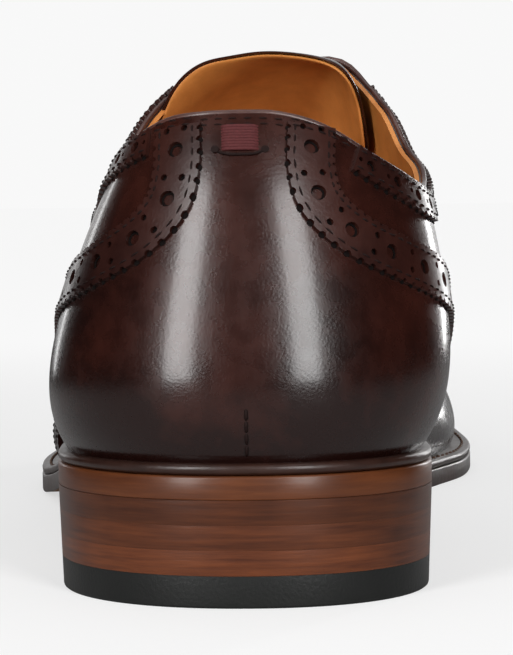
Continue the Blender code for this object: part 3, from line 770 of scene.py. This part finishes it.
DARK_THREAD = thread("dark_thread", (0.011, 0.0042, 0.0035), 0.7)
# Near-black paint for the shade inside punched holes and pinked bites.
HOLE_SHADE = thread("hole_shade_paint", (0.004, 0.0018, 0.0015), 0.9)
EDGING = hide("edging_calf", (0.013, 0.0034, 0.0026), (0.050, 0.0135, 0.0090), 0.26, burnish=0.4,
              pore=0.00045, relief=0.000025, coat=(0.3, 0.2), shine=0.36)

HOLES = [(REPEAT / 2, 0.0, LARGE_HOLE), (0.45 * SMALL_HOLE + 0.0004, SMALL_APART / 2, SMALL_HOLE),
         (0.45 * SMALL_HOLE + 0.0004, -SMALL_APART / 2, SMALL_HOLE)]
CELL = punched_cell(REPEAT, BAND_WIDTH, HOLES, BITES)
SEWN = BAND_WIDTH / 2 - BITE_DEEP - 0.0007
# share round the feather line, height above the seat, of the heel edging's middle
BACK_BAND = (
    (0.046, 0.0572),
    (0.041, 0.0500),
    (0.044, 0.0440),
    (0.060, 0.0385),
    (0.088, 0.0340),
    (0.125, 0.0300),
    (0.165, 0.0255),
    (0.205, 0.0190),
    (0.240, 0.0105),
    (0.260, 0.0030),
)


def angle_at(side, c, height):
    y = np.maximum(feather(side, c)[..., 1], 0.010)
    return np.arcsin(np.clip(height / ridge_rise(y), 0, 1) ** (row(y / LENGTH, "crown") / 2))




def sew_down(ways, sewn, punching, shade_name, seam, slot, more=()):
    """Painted shade discs in the edgings' holes and bites, and a row of stitches on either side of their
    middle.

    punching holds (repeat, holes, half width, bites); more has rows for the same seam."""
    dress(painted_hole_shade(shade_name, [(way, *punching) for way in ways]), HOLE_SHADE, slot=slot)
    rows = [(way, v, ON_BAND) for way in ways for v in (sewn, -sewn)]
    dress(stitches(seam, rows + list(more)), DARK_THREAD, slot=slot)


PUNCHING = (REPEAT, HOLES, BAND_WIDTH / 2, BITES)
ways = []
for side, word in SIDES:
    c, height = spread(BACK_BAND, 240)
    ways.append(Path(side, c, angle_at(side, c, height)))
    dress(strip("heel_edging_" + word, ways[-1], CELL, REPEAT), EDGING, "heel_edging_" + word)
sew_down(ways, SEWN, PUNCHING, "heel_edging_hole_shade", "heel_edging_stitches", "heel_edging_outer")

# Collar edgings, narrower, run below the top edge from the heel's to the facings.
COLLAR_BAND, COLLAR_REPEAT, COLLAR_BITES = 0.0056, 0.0063, 3
COLLAR_SEWN = COLLAR_BAND / 2 - BITE_DEEP - 0.0005
COLLAR_HOLES = [(COLLAR_REPEAT / 2, 0.0, 0.00105), (0.0008, 0.0, 0.00045)]
COLLAR_CELL = punched_cell(COLLAR_REPEAT, COLLAR_BAND, COLLAR_HOLES, COLLAR_BITES, 0.0009)
COLLAR_START, COLLAR_END, COLLAR_DOWN = 0.070, CORNER - 0.014, COLLAR_BAND / 2 + 0.0009


def below_edge(side, c, down):
    """A way that runs at a distance down from the top edge."""
    top = edge_angle(side, c)
    per = np.linalg.norm(last(side, c, top) - last(side, c, top - 1e-3), axis=1) / 1e-3
    return Path(side, c, top - down / per)


ways, rows = [], []
for side, word in SIDES:
    ways.append(below_edge(side, np.linspace(COLLAR_START, COLLAR_END, 240), COLLAR_DOWN))
    piece = strip("collar_edging_" + word, ways[-1], COLLAR_CELL, COLLAR_REPEAT)
    dress(piece, EDGING, "collar_edging_" + word)
# Two more rows of stitches hold the folded top edge round the back, over the heel edging's ends.
for side in (-1, 1):
    for start, end, lift in ((0.0, 0.031, 0.0001), (0.032, 0.068, ON_BAND)):
        for down in (0.0013, 0.0024):
            rows.append((below_edge(side, np.linspace(start, end, 60), down), 0.0, lift))
sew_down(ways, COLLAR_SEWN, (COLLAR_REPEAT, COLLAR_HOLES, COLLAR_BAND / 2, COLLAR_BITES),
         "collar_edging_hole_shade", "collar_stitches", "collar_edging_outer", rows)

# The wing edging crosses the vamp in a point and sweeps back to the sole on both sides.
WING_BAND = (
    (0.532, 4.0),
    (0.560, 11.0),
    (0.600, 21.0),
    (0.650, 32.0),
    (0.700, 44.0),
    (0.738, 56.0),
    (0.750, 66.0),
    (0.742, 75.0),
    (0.722, 83.0),
    (0.704, 89.4),
)
c, angle = spread(WING_BAND, 240)
ways = [Path(side, c, np.radians(angle)) for side in (-1, 1)]
parts = [strip("wing_part", way, CELL, REPEAT) for way in ways]
dress(joined("wing_edging", parts), EDGING, "wing_edging")
sew_down(ways, SEWN, PUNCHING, "wing_edging_hole_shade", "wing_stitches", "wing_edging")

# Facings
# A second layer beside the lacing carries the eyelets, punched plain with no metal rings, and has a
# toothed outer edge and a sewn line along the opening.
EYELET_ROWS = 5
EYELET, EYELET_IN = 0.0018, 0.0090
FACING_WIDE, FACING_IN = 0.0190, 0.0008
TOOTH, FACING_HOLES = 0.0022, 0.0042
# from the outer edge to its holes and its seam, and from the inner edge to its seam
HOLES_IN, SEAM_OUT, SEAM_IN = 0.0042, 0.0019, 0.0024
eyelets, rows = [], []
for side, word in SIDES:
    c = np.linspace(CORNER + 0.012, THROAT - 0.020, 160)
    angle = np.empty(c.shape)
    for i, c_ in enumerate(c):
        angles = np.linspace(float(edge_angle(side, c_)), 0.3, 200)
        walk = last(side, np.full(200, c_), angles)
        run = run_along(walk)
        angle[i] = np.interp(FACING_IN + FACING_WIDE / 2, run, angles)
    way = Path(side, c, angle)
    inner_edge = 1 if way.place(0.01, 0.001, 0.0)[2] > way.place(0.01, 0.0, 0.0)[2] else -1
    centre = (FACING_WIDE / 2 + FACING_IN - EYELET_IN) * inner_edge
    spots = CORNER + 0.020 + (THROAT - CORNER - 0.058) * np.arange(EYELET_ROWS) / (EYELET_ROWS - 1)
    eye_s = [float(s) for s in np.interp(spots, way.c, way.run)]
    holes = [(s, centre, EYELET) for s in eye_s]
    for k, s in enumerate(np.arange(FACING_HOLES, way.length - FACING_HOLES / 2, FACING_HOLES)):
        holes.append((float(s), -inner_edge * (FACING_WIDE / 2 - HOLES_IN), 0.0013 if k % 2 else 0.0006))
    toothed = (1, 0) if inner_edge > 0 else (0, 1)
    cell = punched_cell(way.length, FACING_WIDE, holes, int(way.length / TOOTH), 0.0016, toothed)
    facing = strip("facing_" + word, way, cell, way.length)
    dress(facing, EDGING, "facing_" + word)
    rows += [(way, -inner_edge * (FACING_WIDE / 2 - SEAM_OUT), ON_BAND),
             (way, inner_edge * (FACING_WIDE / 2 - SEAM_IN), ON_BAND)]
    eyelets += [(side, *[float(x) for x in way.at(s, centre)]) for s in eye_s]
dress(stitches("facing_stitches", rows), DARK_THREAD, slot="facing_outer")

# Bar tack and back seam
# A few turns of red thread lock the top of the back seam, with one loose loop under them, and a few
# black stitches close the seam's foot above the welt.
RED_THREAD = thread("red_thread", (0.090, 0.022, 0.023), 0.6)


def by_seam(dx, height, lift=0.0):
    """A place on the back, dx to the side of the seam and height above the seat."""
    side = -1 if dx < 0 else 1
    angle = angle_at(side, np.array(0.0), height)
    speed = np.linalg.norm(last(side, 0.02, angle) - last(side, 0.0, angle)) / 0.02
    return off(side, np.array(abs(dx) / speed), angle, np.array(lift))


TACK_WIDE, TACK_LOW, TACK_HIGH = 0.0062, 0.0535, 0.0574
LOOP_HALF, LOOP_HEIGHT, LOOP_HOLE = 0.0042, 0.0534, 0.0043
turns = []
for height in np.linspace(TACK_LOW, TACK_HIGH, 9):
    across = np.linspace(-1, 1, 15)
    turn = [by_seam(x * TACK_WIDE / 2, height, 0.0002 - 0.0005 * abs(x) ** 6) for x in across]
    turns.append(cord("tack", turn, 0.00034))
bar_tack = joined("bar_tack", turns)
smooth(bar_tack, 60)
dress(bar_tack, RED_THREAD, slot="heel_edging_outer")
across = np.linspace(-1, 1, 25)
loop = []
for x in across:
    loop.append(by_seam(x * LOOP_HALF, LOOP_HEIGHT - 0.0009 * (1 - x**4), 0.0002 - 0.0010 * abs(x) ** 12))
tack_loop = cord("tack_loop", loop, 0.00026)
feet = []
for height in np.linspace(0.0022, 0.0085, 4):
    steps = np.linspace(-1, 1, 7)
    stitch = [by_seam(0.0002, height + 0.0009 * d, 0.0001 - 0.0004 * abs(d) ** 4) for d in steps]
    feet.append(cord("seam_stitch", stitch, 0.00032))
# Dark discs where the loop's ends go into the leather: painted shade of the two holes.
for x in (-LOOP_HOLE, LOOP_HOLE):
    turn = round_turn(12)
    rim = [by_seam(x + 0.0007 * np.cos(t), LOOP_HEIGHT + 0.0006 * np.sin(t), HOLE_LIFT) for t in turn]
    fan = [(i, (i + 1) % 12, 12) for i in range(12)]
    hole_shade_disc = from_faces("tack_hole_shade", np.array(rim + [by_seam(x, LOOP_HEIGHT, HOLE_LIFT)]), fan)
    modify(hole_shade_disc, "SOLIDIFY", thickness=0.0002, offset=-1.0 if x > 0 else 1.0)
    tidy(hole_shade_disc, outward=True)
    feet.append(hole_shade_disc)
seam_foot = joined("back_seam_stitches", [tack_loop] + feet)
smooth(seam_foot, 60)
dress(seam_foot, DARK_THREAD, slot="heel_edging_outer")

# Tongue
# A sheet of calf lined in tan leather, sewn in under the throat, its rounded top showing above the
# facings.
TONGUE_GAP = 0.0018
# back: along the foot at the middle; curl: further forward at the edges; raised: share of TONGUE_RAISE
TONGUE_ROWS = (
    (0.228, 0.000, 0.00),
    (0.214, 0.000, 0.00),
    (0.200, 0.000, 0.00),
    (0.186, 0.000, 0.00),
    (0.172, 0.000, 0.00),
    (0.158, 0.000, 0.00),
    (0.145, 0.000, 0.00),
    (0.133, 0.001, 0.00),
    (0.122, 0.003, 0.00),
    (0.115, 0.005, 0.00),
    (0.110, 0.005, 0.05),
    (0.106, 0.006, 0.40),
    (0.102, 0.007, 1.00),
)
# share across from the outer edge to the inner; raised: at the top row, m
TONGUE_RAISE = ((-1.0, 0.0), (-0.8, 0.0036), (-0.6, 0.0042), (-0.4, 0.0024), (-0.2, 0.0016), (0.0, 0.0008),
                (0.2, -0.0006), (0.4, -0.0026), (0.6, -0.0018), (0.8, 0.0), (1.0, 0.0))
# along the foot, m; half width over the instep, m
TONGUE_WIDE = ((0.103, 0.036), (0.125, 0.034), (0.145, 0.0285),
               (0.170, 0.0245), (0.210, 0.021), (0.230, 0.016))
# share across; splayed: outwards on the outer side at the top row, m
TONGUE_SPLAY = ((-1.0, 0.0022), (-0.8, 0.0026), (-0.6, 0.0018), (-0.4, 0.0006), (-0.2, 0.0), (1.0, 0.0))
shares = np.linspace(-1, 1, 41)
layers = []
for depth in (WALL + TONGUE_GAP, WALL + TONGUE_GAP + 0.0007):
    lines = []
    for back, curl, lift in TONGUE_ROWS:
        wide = through(TONGUE_WIDE, 1, back)
        pts = []
        for s in shares:
            side = -1 if s < 0 else 1
            edge, run, _ = FEATHER[side]
            c_ = float(np.interp(back + curl * s * s, edge[:, 1], run))
            angles = np.linspace(np.pi / 2, 0.25, 240)
            walk = last(side, np.full(240, c_), angles)
            length = run_along(walk)
            angle = float(np.interp(abs(s) * wide, length, angles))
            place = off(side, c_, min(angle, np.pi / 2 - 1e-7), np.array(-depth))
            shift = np.array([-through(TONGUE_SPLAY, 1, s), 0, through(TONGUE_RAISE, 1, s)])
            pts.append(place + lift * shift)
        lines.append(pts)
    lines = np.array(lines)
    for _ in range(3):
        lines[:, 1:-1] = (lines[:, :-2] + 2 * lines[:, 1:-1] + lines[:, 2:]) / 4
    layers.append(lines)
for name, lines, thick in (("tongue", layers[0], 0.0007), ("tongue_lining", layers[1], 0.0009)):
    piece = sheet(name, lines)
    modify(piece, "SOLIDIFY", thickness=thick, offset=1.0)
    modify(piece, "SUBSURF", levels=2, render_levels=2)
    tidy(piece, outward=True)
    smooth(piece, 60)
    if name == "tongue":
        dress(piece, OXBLOOD, "tongue")
    else:
        dress(piece, TAN, slot="tongue")

# Laces
# Flat waxed cotton laces, one straight bar across each pair of eyelets, turned down into the holes
# and tied off out of sight under the facings.
LACE_WIDE, LACE_THICK = 0.0046, 0.0011
# off the upper's face: over the facing, in the eyelet's mouth, and under the leather
LACE_OVER, LACE_MOUTH, LACE_UNDER = BAND + 0.0012, 0.0006, -0.0028


def close_ends(piece):
    """Caps the open ends of a tube."""
    tidy(piece, 1e-6)
    bpy.ops.object.mode_set(mode="EDIT")
    bpy.ops.mesh.select_all(action="SELECT")
    bpy.ops.mesh.fill_holes(sides=0)
    bpy.ops.object.mode_set(mode="OBJECT")
    tidy(piece, outward=True)


COTTON, tree, shader = new_finish("waxed_cotton")
along_lace = add_node(tree, "UVMap", uv_map="UVMap")
weave = add_node(tree, "TexWave", bands_direction="DIAGONAL")
feed(tree, weave, {"Vector": along_lace, "Scale": 9.0, "Distortion": 0.6})
weave = weave.outputs["Fac"]
tone = add_node(tree, "ValToRGB", {"Fac": weave})
tone.color_ramp.elements[0].color = (0.007, 0.0036, 0.0030, 1)
tone.color_ramp.elements[1].color = (0.021, 0.0098, 0.0078, 1)
bump = add_node(tree, "Bump", {"Distance": 0.00012, "Height": weave})
feed(tree, shader, {"Base Color": tone, "Normal": bump, "Roughness": 0.5})
for k in range(EYELET_ROWS):
    left, right = eyelets[k], eyelets[k + EYELET_ROWS]
    middle = []
    for side, c_, angle in (left, right):
        angles = np.linspace(angle, float(edge_angle(side, c_)), 6)
        part = off(side, np.full(6, c_), angles, np.full(6, LACE_OVER))
        part[0] = off(side, c_, angle, np.array(LACE_MOUTH))
        under = off(side, c_, angle, np.array([LACE_UNDER]))
        part = np.concatenate([under.reshape(1, 3), part])
        middle.append(part if side < 0 else part[::-1])
    path = np.concatenate(middle)
    run = run_along(path)
    even = np.linspace(0, run[-1], 48)
    path = np.stack([np.interp(even, run, path[:, n]) for n in range(3)], 1)
    for _ in range(4):
        path[1:-1] = (path[:-2] + 2 * path[1:-1] + path[2:]) / 4
    along = np.gradient(path, axis=0)
    along /= np.linalg.norm(along, axis=1)[:, None]
    foot_way = np.array([0.0, 0.87, -0.49])
    wide = foot_way - along * (along @ foot_way)[:, None]
    wide /= np.linalg.norm(wide, axis=1)[:, None]
    out = np.cross(wide, along)
    out *= np.sign(out[len(out) // 2, 2])
    ends = np.clip(np.minimum(even, run[-1] - even) / 0.004, 0, 1)
    half = LACE_WIDE / 2 * (0.5 + 0.5 * ends)
    turn = np.linspace(0, 2 * np.pi, 17)
    round_x = np.sign(np.cos(turn)) * np.abs(np.cos(turn)) ** 0.5
    round_y = np.sin(turn)
    tube = (path[:, None] + wide[:, None] * (half[:, None] * round_x[None])[..., None]
            + out[:, None] * (LACE_THICK / 2 * round_y)[None, :, None])
    bar = sheet("lace_bar_%d" % (k + 1), tube)
    close_ends(bar)
    smooth(bar, 60)
    dress(bar, COTTON, "lace_bar_%d" % (k + 1))

# Welt
# A strip of leather sewn to the upper and the insole all the way round, its edge trimmed round,
# inked dark and polished. Its stitches show on top along the forepart.
INKED = hide("inked_edge", (0.010, 0.0040, 0.0030), (0.045, 0.017, 0.011), 0.30, pore=0.0012,
             relief=0.00004, coat=(0.25, 0.25), shine=0.4)


def level(line, low, high, t):
    """Height at a share t between two levels over the sole's arched underside."""
    return underside(np.clip(line[:, 1], 0, LENGTH)) + low + (high - low) * t


def rim_ring(name, low, high, inside, groove):
    """A ring of leather round the sole: its edge is rounded, its inner side straight."""
    loops = []
    for side in (-1, 1):
        part = []
        for down, t in groove:
            edge = drawn_in(rims[side], side, np.full(len(RINGS), down))
            part.append(np.column_stack([edge, level(rims[side], low, high, t)]))
        back = drawn_in(rims[side], side, reach + inside)
        for t in (groove[-1][1], groove[0][1]):
            part.append(np.column_stack([back, level(rims[side], low, high, t)]))
        part = np.stack(part, 1)
        loops.append(part if side < 0 else part[::-1][1:])
    ring = np.concatenate(loops)
    ring[-1] = ring[0]
    ring = np.concatenate([ring, ring[:, :1]], 1)
    piece = sheet(name, ring)
    tidy(piece, 1e-5, outward=True)
    smooth(piece, 50)
    return piece


# inset, share of height
ROUNDED = ((0.00100, 0.0), (0.00035, 0.12), (0.00005, 0.35), (0.0, 0.6),
           (0.00015, 0.82), (0.0006, 0.96), (0.00130, 1.0))
welt = rim_ring("welt", OUTSOLE_THICK + 0.0001, OUTSOLE_THICK + WELT_THICK, WALL + 0.0003, ROUNDED)
dress(welt, INKED, "welt")

WELT_THREAD, WELT_PITCH, WELT_SEWN = 0.00038, 0.0032, 0.42
points, faces = [], []
for side in (-1, 1):
    keep = (RINGS > 0.40) & (RINGS < 0.999)
    line = drawn_in(rims[side], side, reach * WELT_SEWN)[keep]
    run = run_along(line)
    count = int(run[-1] / WELT_PITCH)
    turn = round_turn(6)
    for k in range(count):
        ends = [(k + 0.14) * run[-1] / count, (k + 0.86) * run[-1] / count]
        a, b = [np.array([np.interp(e, run, line[:, 0]), np.interp(e, run, line[:, 1])]) for e in ends]
        way = (b - a) / np.linalg.norm(b - a)
        for t, share in ((-0.5, 0.35), (-0.2, 0.95), (0.2, 0.95), (0.5, 0.35)):
            p, r = (a + b) / 2 + (b - a) * t, share * WELT_THREAD
            z = seat(p[1]) + 0.0001 - 0.0009 * t * t
            for ang in turn:
                side_step = np.cos(ang) * r
                points.append((p[0] - way[1] * side_step, p[1] + way[0] * side_step, z + np.sin(ang) * r))
        faces += tube_faces(len(points) - 24, 6, 4)
welt_stitches = from_faces("welt_stitches", np.array(points), faces)
tidy(welt_stitches, outward=True)
smooth(welt_stitches, 60)
dress(welt_stitches, thread("tan_thread", (0.09, 0.045, 0.026)), slot="welt")

# Outsole
# One full length of oak bark leather under the welt. Its edge is inked dark round the forepart and
# waist, and left natural and waxed over the heel, where it shows as an orange band.


def edge_wood(name, dark, light, lines, rough, coat, shift=0.0):
    """Cut leather edges: pressed fibres that run level, a little streaky."""
    material, tree, shader = new_finish(name)
    spot = object_place(tree)
    stretch = add_node(tree, "Mapping", {"Vector": spot, "Location": (0, 0, shift),
                                         "Scale": (60, 60, lines)})
    fibre = add_node(tree, "TexNoise", {"Vector": stretch, "Scale": 1.0, "Detail": 5.0, "Roughness": 0.65})
    patch = add_node(tree, "TexNoise", {"Vector": spot, "Scale": 90.0, "Detail": 2.0})
    total = add_node(tree, "Math", {0: patch, 1: 0.4, 2: fibre}, operation="MULTIPLY_ADD")
    colour = blended(tree, ranged(tree, total, 0.45, 0.95), (*dark, 1), (*light, 1))
    bump = add_node(tree, "Bump", {"Distance": 0.00005, "Height": fibre})
    feed(tree, shader, {"Base Color": colour, "Normal": bump, "Roughness": rough})
    feed(tree, shader, {"Specular IOR Level": 0.3, "Coat Weight": coat, "Coat Roughness": 0.2})
    return material


def plate(name, ring, low, high, edge):
    """A plate cut to the sole's outline whose edge follows (inset, share of height) steps."""
    rows_ = []
    steps = [(None, edge[0][1])] + list(edge) + [(None, edge[-1][1])]
    for side in (-1, 1):
        part = []
        for down, t in steps:
            spot = drawn_in(ring[side], side, np.full(len(RINGS), 0.006 if down is None else down))
            part.append(np.column_stack([spot, level(ring[side], low, high, t)]))
        rows_.append(np.stack(part, 1))
    outer, inner_ = rows_
    whole = np.concatenate([outer, inner_[:, ::-1], outer[:, :1]], 1)
    piece = sheet(name, whole)
    tidy(piece, 1e-5, outward=True)
    smooth(piece, 50)
    return piece


SOFT_EDGE = ((0.00016, 0.0), (0.00004, 0.03), (0.0, 0.08), (0.0, 0.90), (0.00006, 0.96), (0.0003, 1.0))
outsole = plate("outsole", rims, 0.0, OUTSOLE_THICK, SOFT_EDGE)
NATURAL = edge_wood("waxed_sole_edge", (0.064, 0.0170, 0.0058), (0.135, 0.040, 0.0125), 900, 0.36, 0.2)
SOLE_FACE = edge_wood("sole_face", (0.20, 0.09, 0.04), (0.34, 0.18, 0.09), 60, 0.45, 0.1)
dress(outsole, NATURAL, "outsole")
for other in (INKED, SOLE_FACE):
    outsole.data.materials.append(other)
BREAST = 0.222 * LENGTH - MIDDLE[1]
for face in outsole.data.polygons:
    face.material_index = 2 if face.normal.z < -0.85 else (0 if face.center.y < BREAST + 0.0005 else 1)

# Heel
# Three lifts of stacked sole leather, trimmed flush, stained and waxed, and a black rubber top
# piece that takes the wear.
HEEL_LENGTH, HEEL_TAPER, TOP_PIECE, LIFTS = 0.222, 0.0007, 0.0056, 3
BREAST_BEVEL = 0.0007
TURN = HEEL_LENGTH * (1 - np.cos(np.pi / 2 * np.linspace(0, 1, 70)))


def heel_loop(z, more=0.0):
    inset = HEEL_TAPER * (HEEL_UNDER - z) / HEEL_UNDER + more
    rings_ = [drawn_in(sole_edge(s, TURN), s, inset) for s in (-1, 1)]
    mid = (rings_[0][0] + rings_[1][0]) / 2
    rings_[0][0] = rings_[1][0] = mid
    for k_, r in enumerate(rings_):
        r[-1, 1] = HEEL_LENGTH * LENGTH - more
        back_step = (r[-2] - r[-1]) / np.linalg.norm(r[-2] - r[-1]) * BREAST_BEVEL
        side_step = np.array([(1 - 2 * k_) * BREAST_BEVEL, 0.0])
        rings_[k_] = np.vstack([r[:-1], r[-1] + back_step, r[-1] + side_step])
    loop = np.concatenate([rings_[0][::-1], rings_[1][1:]])
    front = loop[-1] + (loop[0] - loop[-1]) * np.linspace(0, 1, 12)[1:-1, None]
    front[:, 1] -= 0.0012 * np.sin(np.pi * np.linspace(0, 1, 12)[1:-1])
    loop = np.concatenate([loop, front, loop[:1]])
    return np.column_stack([loop, np.full(len(loop), z)])


def heel_slab(name, low, high, soft):
    steps = [(low, 0.004), (low, soft), (low + soft * 0.6, soft * 0.2), (low + soft * 1.6, 0.0),
             (high, 0.0), (high, 0.004)]
    loops_ = np.stack([heel_loop(z, more) for z, more in steps])
    piece = sheet(name, loops_)
    close_ends(piece)
    smooth(piece, 45)
    return piece


for k in range(LIFTS):
    low = TOP_PIECE + (HEEL_UNDER - TOP_PIECE) * k / LIFTS
    lift_piece = heel_slab("heel_lift_%d" % (k + 1), low, low + (HEEL_UNDER - TOP_PIECE) / LIFTS, 0.00002)
    # Each lift takes the same stain, lighter at the bottom and darker at the top: painted light near the
    # floor and painted shade under the sole's edge.
    tone = (1.35, 1.00, 0.76)[k]
    dark, light = np.array([0.045, 0.0115, 0.0046]) * tone, np.array([0.125, 0.0350, 0.0115]) * tone
    stain = edge_wood("stain_and_shade_lift_%d" % (k + 1), dark, light, 1100, 0.34, 0.2, 0.7 * k)
    dress(lift_piece, stain, "heel_lift_%d" % (k + 1))

RUBBER, tree, shader = new_finish("heel_rubber")
spot = object_place(tree)
grain = add_node(tree, "TexNoise", {"Vector": spot, "Scale": 1500.0, "Detail": 3.0})
dust = add_node(tree, "TexNoise", {"Vector": spot, "Scale": 120.0, "Detail": 4.0})
colour = blended(tree, ranged(tree, dust), (0.0040, 0.0045, 0.0040, 1), (0.0095, 0.0102, 0.0095, 1))
bump = add_node(tree, "Bump", {"Distance": 0.00005, "Height": grain})
feed(tree, shader, {"Base Color": colour, "Normal": bump, "Roughness": 0.42})

top_piece = heel_slab("top_piece", 0.0, TOP_PIECE - 0.00003, 0.0003)
dress(top_piece, RUBBER, "top_piece")

# Floor, light and camera
# A pale floor of paper, two tall soft lights behind the camera that draw the long highlights down the back,
# two narrow ones ahead that edge the quarters with light, and a broad light overhead.
FLOOR_NEAR, FLOOR_FAR, FLOOR_SIDE = -12.0, 30.0, 12.0
bpy.ops.object.select_all(action="DESELECT")
bpy.ops.mesh.primitive_plane_add(size=2)
floor = bpy.context.object
floor.name = "floor"
for corner in floor.data.vertices:
    corner.co.x *= FLOOR_SIDE
    corner.co.y = FLOOR_NEAR if corner.co.y < 0 else FLOOR_FAR
# Round the shoe the paper takes its light from the lamps, so that it shows the shoe's shadow; further
# off it glows evenly and runs into the background. Reflected in the polish it counts for little.
paper, tree, shader = new_finish("pale_paper")
# share of the lamps' light it throws back, and its own glow
LAMPLIT, EVEN = (0.40, 0.60), (0.03, 0.925)
from_shoe = add_node(tree, "VectorMath", {0: object_place(tree)}, operation="LENGTH").outputs["Value"]
lit = ranged(tree, from_shoe, 0.15, 0.70, LAMPLIT[0], EVEN[0], interpolation_type="SMOOTHSTEP")
glow = ranged(tree, lit, EVEN[0], LAMPLIT[0], EVEN[1], LAMPLIT[1])
ray = add_node(tree, "LightPath").outputs["Is Camera Ray"]
glow_seen = add_node(tree, "Math", {0: glow, 1: ray}, operation="MULTIPLY")
feed(tree, shader, {"Base Color": lit, "Roughness": 1.0, "Specular IOR Level": 0.0})
feed(tree, shader, {"Emission Color": (1, 1, 1, 1), "Emission Strength": glow_seen})
floor.data.materials.append(paper)


def soft_light(name, place, aim, wide, tall, power):
    data = bpy.data.lights.new(name, "AREA")
    data.shape = "RECTANGLE"
    data.size, data.size_y, data.energy = wide, tall, power
    lamp = put(name, data)
    lamp.location = place
    lamp.rotation_euler = (Vector(aim) - Vector(place)).to_track_quat("-Z", "Y").to_euler()
    return lamp


HEEL_BACK = Vector((0.004, -0.150, 0.055))
for name, turn_, up, wide, tall, power in (
    ("left_light", -33, 0.45, 0.34, 1.1, 13.0),
    ("right_light", 28, 0.45, 0.34, 1.1, 12.5),
    ("left_rim", -148, 0.10, 0.08, 0.4, 0.4),
    ("right_rim", 150, 0.15, 0.10, 0.7, 3.4),
):
    spot = HEEL_BACK + Vector((np.sin(np.radians(turn_)) * 1.2, -np.cos(np.radians(turn_)) * 1.2, up))
    soft_light(name, spot, HEEL_BACK, wide, tall, power)
soft_light("overhead", (0.0, 0.1, 1.6), (0, 0, 0), 1.6, 1.6, 8.0)

world = bpy.data.worlds.new("room")
bpy.context.scene.world = world
world.use_nodes = True
room = world.node_tree
far_paper = room.nodes["Background"]
feed(room, far_paper, {"Color": (1, 1, 1, 1), "Strength": 0.94})
heading = add_node(room, "TexCoord").outputs["Generated"]
ahead = add_node(room, "SeparateXYZ", {0: heading}).outputs["Y"]
dim = add_node(room, "Background", {"Strength": ranged(room, ahead, 0.75, 0.97, 0.02, 0.9)})
seen = add_node(room, "LightPath").outputs["Is Camera Ray"]
either = add_node(room, "MixShader", {0: seen, 1: dim, 2: far_paper})
feed(room, room.nodes["World Output"], {"Surface": either})
bpy.context.scene.view_settings.view_transform = "Standard"

# The camera stands behind the heel, a little to its inner side and low, as in the photograph.
CAMERA_AZIMUTH, CAMERA_ELEVATION, CAMERA_ROLL = 2.651, 3.359, -0.692
CAMERA_DISTANCE = 0.427
CAMERA_AIM = np.array([0.0035 - MIDDLE[0], -MIDDLE[1], 0.045])
FRAME_WIDTH, FOCAL_PIXELS = 513, 2527.0
az, el = np.radians(CAMERA_AZIMUTH), np.radians(CAMERA_ELEVATION)
back = np.array([np.sin(az) * np.cos(el), -np.cos(az) * np.cos(el), np.sin(el)])
camera_data = bpy.data.cameras.new("camera")
camera = put("camera", camera_data)
camera.location = CAMERA_AIM + back * CAMERA_DISTANCE
camera.rotation_mode = "QUATERNION"
turned = Vector(-back).to_track_quat("-Z", "Y")
PAN, TILT = 22.0 / FOCAL_PIXELS, 17.9 / FOCAL_PIXELS
turned = turned @ Quaternion((0, 0, 1), np.radians(CAMERA_ROLL))
turned = turned @ Quaternion((0, 1, 0), -PAN) @ Quaternion((1, 0, 0), TILT)
camera.rotation_quaternion = turned
camera_data.sensor_fit = "HORIZONTAL"
camera_data.sensor_width = 36
camera_data.lens = FOCAL_PIXELS / FRAME_WIDTH * 36
camera_data.clip_start, camera_data.clip_end = 0.01, 20
bpy.context.scene.camera = camera
